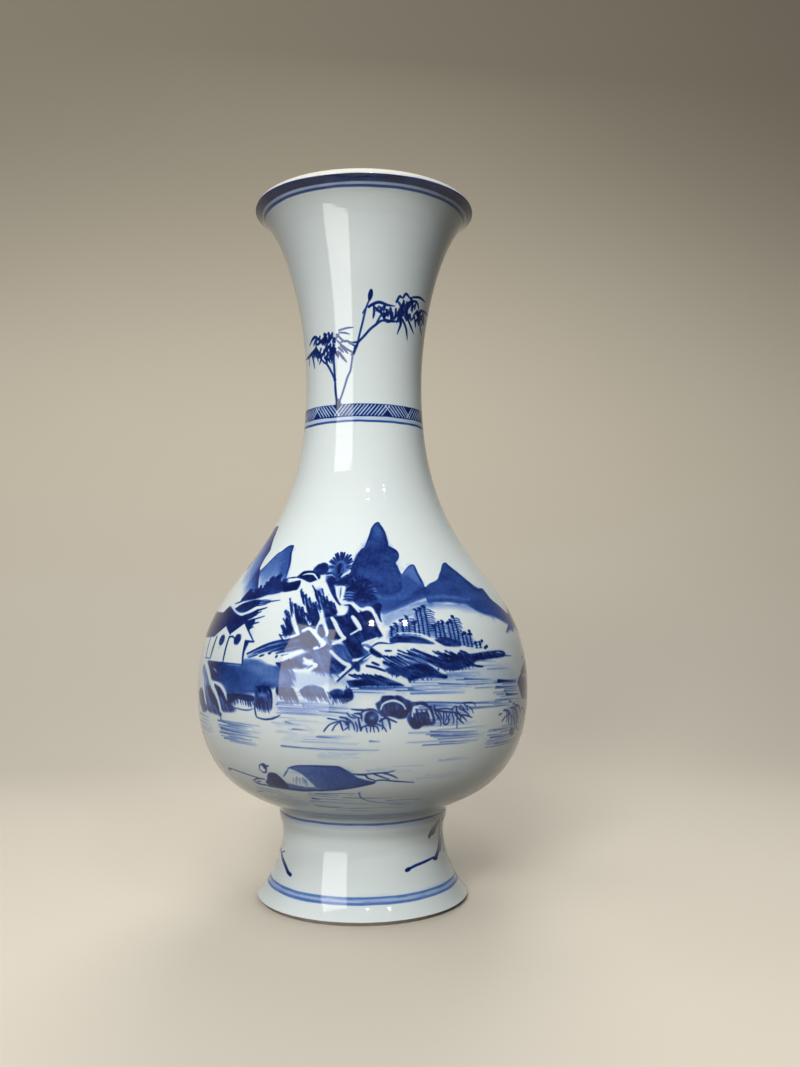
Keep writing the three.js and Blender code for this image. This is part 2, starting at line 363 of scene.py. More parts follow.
def slants(starts, way, long, width=0.7, tone=0.9, ends=(0.45, 1.0)):
    """Strokes side by side at one slope, each from a start of its own."""
    for start in starts:
        p, reach = np.array(start), reach_at(way, long) * rng.uniform(0.85, 1.15)
        brush([p, p + reach / 2 + rng.normal(0, 0.08, 2), p + reach], width * rng.uniform(0.85, 1.2), tone,
              ends, (0.9, 1.0), per=4)


def hill(ridge, foot, top=0.5, bottom=0.1, curve=1.0, foot_edge=0.8, outline=0.0, line=0.7, uneven=0.12):
    """A hill's wash from its ridge down to its foot, graded from top to bottom, and its ridge line."""
    (a, scale), (b, _) = place(rounded(ridge, 5)), place(rounded(foot, 5))
    a, b = (side[::-1] if side[0, 0] > side[-1, 0] else side for side in (a, b))
    s = scale.mean()
    x0, x1 = int(a[:, 0].min()) - 2, int(a[:, 0].max()) + 3
    y0, y1 = int(min(b[:, 1].min(), a[:, 1].min()) - 3 * foot_edge * s) - 2, int(a[:, 1].max()) + 4
    xs, ys = np.arange(x0, x1) + 0.0, (np.arange(y0, y1) + 0.0)[:, None]
    high, low = (np.interp(xs, side[:, 0], side[:, 1])[None] for side in (a, b))
    low = low + foot_edge * s * 0.6 * cloudy(1, len(xs), 1, 3.5 * s)
    area = np.clip((high - ys) / (0.15 * s) + 0.5, 0, 1) * np.clip((ys - low) / (foot_edge * s) + 0.5, 0, 1)
    level = top + (bottom - top) * np.clip((high - ys) / np.maximum(high - low, 1), 0, 1) ** curve
    level = level * (1 + uneven * cloudy(len(ys), len(xs), 2.6 * s, 6 * s))
    lay(x0, y0, (area * np.clip(level, 0, 1)).astype(np.float32))
    if outline:
        brush(ridge, line, outline, ends=(0.5, 0.5), fade=(0.7, 0.7))


def dabs(area, count, size=(1.0, 0.6), tone=0.85, lean=0.3):
    """Short wet dabs for leaves over a rounded area (x, z, half width, half height)."""
    x, z, w, h = area
    for _ in range(count):
        a, r = rng.uniform(0, math.tau), math.sqrt(rng.uniform(0, 1))
        px, pz, long = x + w * r * math.cos(a), z + h * r * math.sin(a), size[0] * rng.uniform(0.6, 1.3)
        brush([(px - long / 2, pz - lean * long * rng.uniform(-1, 1)), (px + long / 2, pz)],
            size[1] * rng.uniform(0.7, 1.3), tone * rng.uniform(0.8, 1.05), ends=(0.6, 0.5), per=2)


def oval(x, z, w, h):
    """Points round an oval."""
    return [(x + w * math.cos(a), z + h * math.sin(a)) for a in np.linspace(0, math.tau, 9)[:-1]]


def needles(x, z, w, h, turn=(0.0, 360.0), count=18, width=0.66, tone=0.84, heart=0.88):
    """A needle pine: a dark heart and thick needles fanned round it, light showing between them."""
    wash(oval(x, z, 0.8 * w, 0.76 * h), 0.46, soft=1.1)
    wash(oval(x, z - 0.1 * h, 0.42 * w, 0.46 * h), heart, soft=1.0, grain=(90, 0.3))
    for k in range(count):
        a = math.radians(turn[0] + (turn[1] - turn[0]) * (k + 0.5 + rng.uniform(-0.12, 0.12)) / count)
        reach, bend = rng.uniform(0.9, 1.06), rng.uniform(-0.12, 0.12)
        brush([(x + f * w * math.cos(a + bend * f), z + f * h * math.sin(a + bend * f)) for f in (0.4, 0.7,
              reach)], width * rng.uniform(0.85, 1.15), tone * rng.uniform(0.9, 1.1), ends=(0.3, 0.95),
            soft=0.15)


def tree(x, base, top, spread=1.3, tone=0.92):
    """A tree of the far woods: a trunk, level branches up both sides and a dabbed crown."""
    brush([(x, base), (x + rng.uniform(-0.2, 0.2), (base + top) / 2), (x, top)], 0.5, tone, ends=(1.0, 0.8))
    for k in range(int((top - base) / 0.75)):
        for side in (-1, 1):
            z, out = base + 0.75 * k + rng.uniform(-0.1, 0.1), side * spread * rng.uniform(0.45, 1.0)
            brush([(x, z), (x + out, z - 0.15)], 0.34, tone * rng.uniform(0.75, 1.0), ends=(1.0, 0.6))
    dabs((x, top - 0.2, 0.8, 0.5), 4, (1.0, 0.7), tone)


print("ways of brushing: fringe, slants, hill, dabs, needles, tree")

# %% [markdown]
# ## Mountains and woods on the far left
#
# Distant hills are one loaded stroke for the ridge and a wash that thins toward the foot, where
# mist is left white. The far woods are a dark wash with a dabbed upper edge.

# %% Left mountains
def left_mountains():
    hill([(-106, 116), (-101, 120), (-97, 125), (-93, 128.6), (-89, 130.2), (-84, 130.5), (-76, 131),
         (-71, 131), (-69.5, 130), (-68, 128.5), (-66, 126.5), (-64, 125), (-62, 123.5), (-60.3, 122),
         (-60.2, 119.5), (-58.5, 116.3), (-56, 115), (-53.5, 113), (-51, 111), (-49, 109.3), (-47.5, 108)],
        [(-106, 114.6), (-95, 117), (-84, 118.5), (-75, 116), (-68, 112), (-62, 109), (-58, 107),
         (-53, 106), (-47.5, 106)], 0.8, 0.1, curve=1.5, foot_edge=1.5, outline=0.9, line=0.6)
    hill([(-56, 114.5), (-55.5, 115.5), (-53.5, 117.5), (-52, 119.2), (-50, 120.9), (-47.5, 121.7),
         (-45.5, 122.9), (-43.5, 123.5), (-41, 123.5), (-40.3, 122.5), (-39.7, 121), (-38.3, 119.3),
         (-37, 117.5), (-36.2, 115.5), (-35.3, 112.8)],
        [(-56, 113), (-52, 112), (-49, 110), (-44, 110.5), (-40, 112), (-35.3, 111)], 0.62, 0.2, curve=2.2,
        outline=0.88, line=0.55)
    wash([(-45, 122.5), (-42, 123), (-40.5, 121), (-38.5, 118.5), (-36.6, 115.5), (-36, 112.5), (-40, 113),
         (-43, 116), (-45, 119)], 0.55, soft=1.2)
    brush([(-41, 123.2), (-40, 120.8), (-38.4, 118.9), (-37.2, 117), (-36.2, 114)], 0.9, 0.8, ends=(0.6, 0.5))
    wash([(-56, 106.5), (-54.5, 108.5), (-52.5, 109), (-51, 107.8), (-49, 108.7), (-47.5, 110.3),
         (-46, 109.3), (-45, 111), (-43, 113), (-41.5, 113), (-39.7, 114.3), (-38.3, 113.5), (-37, 111.5),
         (-35, 112.5), (-33, 111), (-34, 108.2), (-38, 107.3), (-41, 107), (-45, 106), (-50, 105.3),
         (-56, 105)], 0.9, soft=0.3, uneven=0.1)
    for x, z in ((-54, 108.3), (-52, 108.6), (-49.3, 108.8), (-47.5, 110), (-45, 110.8), (-43, 112.8),
            (-40.5, 113.6), (-38.5, 113.2), (-36, 112)):
        dabs((x, z - 0.6, 1.1, 1.1), 5, (1.1, 0.7), 0.93)


print("left mountains: two hills and the woods at their foot")

# %% [markdown]
# ## Village and the bank it stands on
#
# White gables are left out of a dark hillside and drawn round with a fine line. Below them the
# bank is a flat blue wash that ends in fringes of short slanted strokes, with white rock ridges
# lifted out of the dark at the left.

# %% Village
def village():
    wash([(-84, 101), (-75, 101), (-70, 101), (-67, 101), (-64.5, 102.5), (-63, 103.2), (-60, 102.5),
         (-56, 101.3), (-51, 100.2), (-46, 100.3), (-43, 99.5), (-43, 96), (-44, 94), (-53, 94.3),
         (-66, 93), (-75, 92.5), (-84, 93)], 0.92, soft=0.3, uneven=0.08)
    brush([(-59.5, 104), (-56, 104.7), (-54, 105)], 0.7, 0.85)
    # three terraces above the roofs, each a dark band with ragged right ends
    wash([(-57.5, 102.4), (-54, 104), (-50, 104.9), (-46, 105.5), (-43.5, 105.3), (-43, 103.9), (-45, 103),
         (-49, 101.4), (-53, 101.3)], 0.9, soft=0.2)
    strokes([([(-45, 104.9), (-39, 104.9), (-33.3, 105.4)], 0.5),
         ([(-45, 105.2), (-41, 105.4), (-37.8, 105.3)], 0.35),
         ([(-46, 104.2), (-41.5, 104.3), (-37.7, 104.6)], 0.5),
         ([(-46, 103.5), (-42, 103.7), (-39, 104.1)], 0.4)], 0.9, (1, 0.4))
    wash([(-50.5, 100), (-48, 100.7), (-44.5, 101.8), (-42.5, 102.6), (-42, 101), (-44, 99.6), (-46, 99),
         (-49, 99)], 0.92, soft=0.2)
    strokes([([(-46, 101.2), (-42, 102.1), (-38.2, 103)], 0.75),
         ([(-45, 100.4), (-42.5, 101), (-40.3, 101.7)], 0.7),
         ([(-45.5, 99.8), (-43.5, 100.2), (-41.7, 100.7)], 0.6)], 0.9, (1, 0.45))
    wash([(-46.5, 98.3), (-44, 99.2), (-42, 99.5), (-41.5, 98), (-42.5, 96.3), (-43.5, 95.3)], 0.92,
        soft=0.2, bent=False)
    strokes([([(-45, 98.7), (-41.5, 99.4), (-37.8, 100.3)], 0.5),
         ([(-44, 97.6), (-41.8, 97.9), (-39.5, 98.3)], 0.6),
         ([(-43.5, 96.5), (-42.5, 96.5), (-41.4, 96.8)], 0.5)], 0.9, (1, 0.45))
    brush([(-51, 100.5), (-46, 101.4), (-42, 103), (-40, 103.7)], 0.5, 0.95, lift=True)
    brush([(-45.5, 98.9), (-42, 99.9), (-39, 100.7)], 0.45, 0.95, lift=True)
    # white gables and their outlines
    for gable in ([(-58, 96.8), (-65.5, 93.3), (-63.5, 92.8), (-64, 85), (-54, 85), (-53.8, 93.2),
             (-53, 94)],
            [(-46.7, 98), (-52.5, 94.8), (-53.2, 93.4), (-53.4, 85), (-43.3, 84.9), (-43.5, 92.3),
             (-39.4, 92.5)], [(-69, 92.4), (-64.2, 92.6), (-64.2, 86), (-69, 86)]):
        wash(gable, 1.0, soft=0.2, uneven=0.0, bent=False, lift=True)
    for line, w, tone in (([(-65.5, 93.2), (-61.5, 95.2), (-58, 96.9)], 0.5, 0.9),
            ([(-58, 96.9), (-55.5, 95.6), (-53, 94)], 0.6, 0.9),
            ([(-62.8, 93), (-63.4, 89.5), (-64, 86)], 1.1, 0.88),
            ([(-53.3, 93.3), (-53.6, 89), (-53.8, 85)], 0.9, 0.9),
            ([(-52.5, 94.8), (-49.5, 96.5), (-46.7, 98)], 0.6, 0.9),
            ([(-46.7, 98), (-42.7, 95), (-39.5, 92.2)], 0.6, 0.85),
            ([(-39.4, 92.2), (-41.5, 92.2), (-43.5, 92.4)], 0.65, 0.9),
            ([(-43.5, 92.3), (-43.3, 88.5), (-43, 84.8)], 0.9, 0.9),
            ([(-53, 93.2), (-51.5, 93.5), (-49.8, 93)], 0.6, 0.88),
            ([(-65, 84.9), (-54, 84.9), (-43, 84.9)], 0.45, 0.8),
            ([(-69.3, 92.3), (-69.2, 86)], 0.8, 0.85), ([(-70, 85.8), (-64.5, 85.8)], 0.4, 0.6)):
        brush(line, w, tone, ends=(0.8, 0.6))
    wash([(-43.8, 92.3), (-41.6, 92), (-42.6, 89.5), (-43.2, 88)], 0.9, soft=0.2, bent=False)
    for x, z in ((-57.8, 92.1), (-48, 92.7)):
        wash([(x - 2, z), (x - 1, z + 1.5), (x + 1.1, z + 1.5), (x + 1.9, z), (x + 0.8, z - 1.6),
             (x - 1.2, z - 1.5)], 0.86, soft=0.25)


print("village: three terraces, three gables")

# %% Bank
def bank():
    wash([(-64, 84.8), (-53, 84.7), (-43.5, 84.7), (-42.8, 86.3), (-38, 86.6), (-35, 86.3), (-32, 85.4),
         (-29, 85.2), (-25, 84.2), (-23, 82.5), (-22.5, 79.5), (-24, 78.3), (-29, 78.2), (-37, 76),
         (-45, 75.6), (-49.5, 75.2), (-51.5, 77.2), (-55, 78.6), (-60, 79.5)], 0.68, soft=0.7, uneven=0.13,
        grain=(-4, 0.07))
    fringe([(-26, 85), (-24, 84), (-23, 82.5), (-22.6, 80.5)], -50, 2.6, 8, 0.4, 0.5, 0.4)
    wash([(-42, 86), (-36, 86), (-30, 84.6), (-25, 83.5), (-24, 80), (-30, 79.5), (-38, 83.5), (-42, 84.5)],
        0.25, soft=0.9, lift=True)
    wash([(-66.5, 84.9), (-60, 84.9), (-52, 84.9), (-47, 83.5), (-50, 79.5), (-54, 78.6), (-59.8, 79),
         (-61.5, 80.5), (-63.5, 82.6)], 0.9, soft=0.5, ramp=((-61, 82), 0.96, (-49, 82), 0.5))
    brush([(-60, 82.8), (-58.3, 82.3), (-57, 81.6)], 0.6, 0.7, lift=True)
    # dark masses under the white ridges at the water's left edge
    for mass in ([(-58, 78), (-55, 77.5), (-52.5, 76), (-50.5, 74), (-48, 72.4), (-45.3, 70.8),
             (-45.2, 70), (-48, 69.5), (-52.6, 69.4), (-53.6, 71.5), (-55.5, 74.4)],
            [(-64, 78), (-61, 76.5), (-58, 74.5), (-56, 73), (-54.7, 71), (-54, 69), (-52.8, 68.4),
             (-54, 67.8), (-58, 68.1), (-62.5, 68.4), (-64, 70), (-65.5, 74)],
            [(-75, 74), (-71, 75.5), (-69, 75), (-67.5, 73), (-66, 70.8), (-64, 70), (-63.5, 69),
             (-66, 68), (-70, 67.6), (-71, 69), (-74, 70.5)]):
        wash(mass, 0.66, soft=0.5, uneven=0.2, grain=(-58, 0.35))
    fringe([(-57.8, 77.3), (-55, 77), (-52.4, 75.2), (-50, 73)], -56, 4.2, 9, 0.75, 0.93, ends=(0.9, 0.8))
    fringe([(-63.5, 77), (-61, 76), (-58, 73.8), (-56, 71.8)], -62, 5.5, 11, 0.8, 0.9, ends=(0.9, 0.6))
    fringe([(-74, 74.5), (-71, 75), (-68.5, 74)], -60, 4.5, 8, 0.8, 0.88, ends=(0.9, 0.6))
    wash([(-71, 83), (-68, 83.5), (-64, 80.5), (-60.5, 77), (-63.5, 76.5), (-66, 73.5), (-67, 75.5),
         (-68.6, 79), (-71, 80.6)], 0.4, soft=0.5, grain=(-55, 0.5))
    for fold, w in (([(-70, 84.5), (-66, 82.3), (-62, 79), (-59, 76.8), (-56.5, 74.8), (-54.6, 72),
              (-53.7, 69.3)], 1.5),
            ([(-59, 78.4), (-56, 78.1), (-53.2, 77.3), (-51, 75.6), (-49.6, 73.2)], 1.2),
            ([(-75.5, 77.5), (-72, 79.2), (-70, 79.2), (-68.5, 77.2), (-67, 74.2), (-65, 70.8)], 1.5)):
        brush(fold, w, 0.97, ends=(0.6, 0.5), lift=True)
    # lower edge of the bank: dark, then a fringe, a white gap and a thin line of shore
    wash([(-50, 75.3), (-45, 75.8), (-40, 75.7), (-37, 75.3), (-36.8, 73.8), (-40, 73.6), (-44, 73.9),
         (-47, 72.5), (-49, 71.5), (-49.6, 73)], 0.9, soft=0.3)
    fringe([(-48, 73.5), (-45, 74.2), (-41, 74), (-37.6, 73.8)], -68, 2.2, 22, 0.32, 0.93)
    brush([(-46.5, 71.2), (-42, 70.7), (-39, 70.8), (-36.8, 71.4)], 0.45, 0.72)
    brush([(-49, 70), (-46, 70.8)], 0.6, 0.9)
    # rock that steps out of the bank
    wash([(-36.6, 78.2), (-33, 78.3), (-30.6, 77.8), (-29.8, 75.5), (-29.7, 72), (-31, 71.3),
         (-35.8, 71.8), (-36.4, 74.5)], 0.78, soft=0.4, uneven=0.15, grain=(-76, 0.3))
    wash([(-35, 76.5), (-32.6, 76.4), (-31.8, 75.4), (-34.8, 75.2)], 0.5, soft=0.6, lift=True)
    brush([(-36, 78.3), (-32.5, 78.4), (-30.4, 77.3), (-29.8, 74.5), (-29.8, 72)], 0.8, 0.95)
    fringe([(-35.8, 74.3), (-33, 74), (-30.3, 73.6)], -78, 3.5, 16, 0.36, 0.95)
    strokes([([(-36.9, 75), (-36.5, 72), (-36, 69.4), (-35.4, 68.6)], 0.6),
         ([(-35.8, 68.8), (-33, 68.3), (-30, 68.6), (-28, 69.3), (-26.6, 70.1)], 0.55)], 0.9)
    brush([(-28.6, 78), (-28.4, 74.5), (-28.6, 71)], 1.1, 0.97, lift=True)
    # dark blocks under the cliff, side by side, each ending in a long fringe
    for block, line, way, long, count, tone in (([(-28.3, 78.5), (-25, 78.7), (-22.6, 78.5), (-21.6, 77.2),
              (-20.5, 75), (-22.5, 75.6), (-25, 75.8), (-28, 76.2)],
             [(-27.8, 77), (-24.5, 76.6), (-21, 76)], -62, 3.2, 22, 0.93),
            ([(-20.3, 77.6), (-18.6, 78.9), (-16.5, 79.5), (-13.8, 79.1), (-12.2, 78.3), (-11.2, 76.6),
              (-10.9, 75.4), (-13, 76), (-16, 76), (-19, 76.2)],
             [(-19.8, 77.2), (-16, 76.6), (-11.4, 76.4)], -60, 3.0, 24, 0.8),
            ([(-10.6, 77.4), (-9, 78.3), (-6.6, 78.2), (-5.8, 77), (-5.6, 75.6), (-8, 75.4), (-10, 76)],
             [(-10.3, 76.8), (-8, 76.4), (-5.8, 76.2)], -64, 2.6, 14, 0.84),
            ([(-6, 77.9), (-4.6, 78.9), (-3.3, 77.7), (-3.1, 75.7), (-4.6, 74.6), (-6, 75)],
             [(-5.6, 77), (-4.4, 76.6), (-3.6, 76.6)], -60, 1.6, 6, 0.93)):
        wash(block, 0.9 * tone, soft=0.3, uneven=0.1, grain=(way, 0.22))
        fringe(line, way, long, count, 0.34, min(1, 1.05 * tone), ends=(1.0, 0.4), stagger=1.0)
    dabs((-4.5, 76.6, 1.3, 1.9), 9, (1.1, 0.6), 0.93, lean=0.6)
    for fold in ([(-21.7, 78.4), (-20.9, 76.8), (-20.1, 75), (-19.3, 72.8)],
            [(-11.9, 78), (-11, 76.4), (-10.3, 74.4)]):
        brush(fold, 0.55, 0.95, ends=(0.8, 0.5), lift=True)
    strokes([([(-27.6, 73.6), (-25, 73.7), (-22, 73.4)], 0.6), ([(-19.2, 74), (-18.3, 72.4)], 0.5),
         ([(-9.4, 75), (-9.2, 73.6)], 0.5)], 0.6)


print("bank: three dark masses, one rock and four blocks with fringes")

# %% [markdown]
# ## Cliff, its path and its pines
#
# The cliff is the heart of the picture. Its dark mass is laid first, the long white folds are
# taken out of it with blunt, boot-shaped ends, and steep strokes then rise into the white from
# each dark hollow, every one from a start of its own.

# %% Path
def path_bank():
    wash([(-42, 87.3), (-38, 89.6), (-34, 91.3), (-30, 92.6), (-25, 93.6), (-20.5, 95), (-17, 94.5),
         (-16, 92.5), (-17.5, 90.6), (-21, 90.2), (-25, 89.4), (-30, 89.4), (-35, 88.8), (-39, 87.3)], 0.5,
        ramp=((-38, 89), 0.3, (-22, 92), 0.84), soft=0.4, grain=(14, 0.4))
    strokes([([(-41.5, 88.3), (-37.5, 89.9), (-33, 91.6), (-28, 92.8), (-22, 93.6)], 0.75),
         ([(-40.5, 87.2), (-38, 87.9), (-36.7, 88.2)], 0.4),
         ([(-38.5, 88.6), (-35, 89.7), (-31, 90.9), (-26, 92)], 0.5),
         ([(-36.5, 88.6), (-33, 89.7), (-29, 90.9), (-24, 91.8)], 0.45),
         ([(-35.8, 87.7), (-34, 88.3)], 0.6), ([(-31.3, 89.3), (-28, 90.2), (-24, 91), (-20, 91.8)], 0.5),
         ([(-29.4, 88.8), (-25, 89.8), (-20, 90.8)], 0.5), ([(-27.3, 88.2), (-24, 88.9), (-21, 90)], 0.4),
         ([(-32.3, 88.7), (-31.4, 88.9)], 0.75), ([(-29.3, 87.6), (-28.8, 88.1)], 0.75)], 0.9, (0.7, 0.6))
    wash([(-33, 85.8), (-30, 85.1), (-27.5, 85.4), (-25, 86.6), (-21.5, 88.1), (-18, 89.2), (-14.7, 90.6),
         (-15.2, 91.1), (-18, 90.5), (-22, 89.9), (-26, 88.4), (-30, 87.2), (-33.5, 87)], 1.0, soft=0.25,
        uneven=0.0, lift=True)
    wash([(-27.5, 85.5), (-24.5, 87), (-21, 88.4), (-18.7, 89.2), (-16.5, 89.2), (-16, 87.6), (-19, 87),
         (-19.5, 85.8), (-17.4, 85.2), (-20.5, 84.3), (-23.5, 84.8), (-26, 84.4)], 0.8, soft=0.4,
        grain=(-42, 0.3))
    fringe([(-28.5, 85.6), (-26, 86.4), (-23, 87.2)], -40, 3.4, 11, 0.55, 0.9)


print("path: a bank of level strokes")

# %% Cliff
NAIL = (1.45, 0.8)       # ends of a stroke that is pressed where it starts
DARK_HOLLOWS = (
    [(-27.4, 100.4), (-26, 98.7), (-24.4, 96.6), (-23, 94.9), (-25, 94.3), (-27, 94.9), (-27.4, 96.6),
     (-26.8, 98.4)],
    [(-27.2, 103.6), (-25.6, 102.4), (-24, 101.6), (-22.6, 100.5), (-21, 99.8), (-19.4, 99.2),
     (-18.3, 97.9), (-17.5, 96.9), (-18.8, 96.7), (-20.6, 95.8), (-21.6, 95.2), (-22.6, 96.6), (-24.1, 99),
     (-25.7, 101.6)],
    [(-23.4, 104.8), (-21.6, 104.4), (-19.6, 103.4), (-17.7, 102.6), (-16.2, 101.6), (-15.2, 99.9),
     (-15.8, 98), (-16.3, 96.6), (-17.7, 96.9), (-18.4, 98.2), (-20.2, 100.8), (-22, 103.5)],
    [(-18.6, 107.2), (-16.5, 105.8), (-14.4, 104.4), (-12.6, 103.6), (-11, 103.4), (-9.6, 102.4),
     (-9.2, 100.9), (-11.4, 100.2), (-13.4, 99.8), (-14.2, 101.6), (-15.8, 104.2), (-17.2, 106.2)],
    [(-15.6, 97.3), (-14.4, 97.9), (-13.4, 96.8), (-12.6, 95), (-13.6, 93.8), (-15.3, 95)],
    [(-13.3, 99.7), (-11, 100.4), (-6.4, 101), (-5.4, 103.5), (-7.6, 103.9), (-4.5, 104.3), (-2.6, 103),
     (-1, 102.1), (1, 102.3), (3, 101.6), (4.2, 99.6), (5.2, 97), (6.3, 94.6), (4, 93.6), (1, 93),
     (-0.7, 91.6), (0.4, 89.6), (-0.8, 88), (-3, 87.6), (-4.6, 89), (-6, 91.6), (-8, 93.2), (-10.8, 93.2),
     (-12, 94.4), (-12.2, 96.6)],
    [(-22, 95.2), (-20.5, 95.4), (-18.4, 96.2), (-16.8, 94.8), (-14.6, 92.8), (-16, 91), (-18.5, 90.6),
     (-21.5, 92.5)])
# each fold is (path, width): the long folds, and the boots that turn their lower ends
WHITE_FOLDS = (
    ([(-17.3, 110.8), (-15.2, 109.2), (-12.9, 106.3), (-9.9, 103.5), (-7.9, 101.6)], 2.1),
    ([(-9.1, 101.2), (-6.8, 101.3)], 1.0),
    ([(-21.5, 109.3), (-19.6, 107.5), (-18.1, 105.7), (-16.4, 103.3), (-15.2, 101.3), (-14.4, 99.2)], 1.6),
    ([(-14.9, 99.4), (-15.9, 97)], 0.7), ([(-14, 98.8), (-13, 97.3), (-12.2, 95.6), (-12.2, 94.6)], 1.1),
    ([(-26, 109.2), (-23.9, 106.6), (-22.3, 103.5), (-20.8, 101), (-18.6, 98)], 1.3),
    ([(-28.8, 106), (-27.2, 103.5), (-25.4, 99.8), (-23.5, 96.8), (-22.3, 94.9)], 1.5),
    ([(-22.2, 94.8), (-24, 94.2), (-27, 93.4)], 0.8),
    ([(-20.8, 95.9), (-18.6, 96.7), (-16.4, 95.1), (-14, 92.9), (-12.7, 92.1), (-14.6, 91), (-16, 90.6)],
     1.25), ([(-11, 99.9), (-9.9, 98.6), (-8.7, 96.6), (-7.2, 94.6), (-6.2, 93.7)], 1.4),
    ([(-6.1, 94), (-7.6, 93), (-9.9, 92)], 1.1),
    ([(-3.8, 100.3), (-3, 99.4), (-1.6, 97.5), (-1.1, 96.6)], 1.5),
    ([(-1, 96.8), (-2.6, 95.8), (-4.3, 94.9)], 0.65),
    ([(-8.6, 103.8), (-7.4, 104.4), (-4.8, 104.6), (-3.3, 103.5), (-1.7, 101.9)], 0.95),
    ([(-0.4, 102.3), (1.3, 102.8), (3.1, 102.2), (4.3, 100.2), (5.2, 97.5), (6.6, 95)], 1.15),
    ([(-10.4, 89.8), (-8.6, 88.1), (-6.2, 86.3), (-4.4, 85.5), (-5.4, 84), (-6.8, 82.8), (-8.6, 81.2)], 1.2),
    ([(-19.2, 87.5), (-17, 86.2), (-14.9, 85.6), (-16.6, 84.4), (-18.6, 83.4), (-22, 83.8)], 1.1),
    ([(0.4, 91), (2.2, 89.8), (2, 88.8), (0, 87.6), (-3.2, 87.1)], 1.1),
    ([(-0.5, 92.2), (2, 93), (4.5, 93.9)], 0.6))


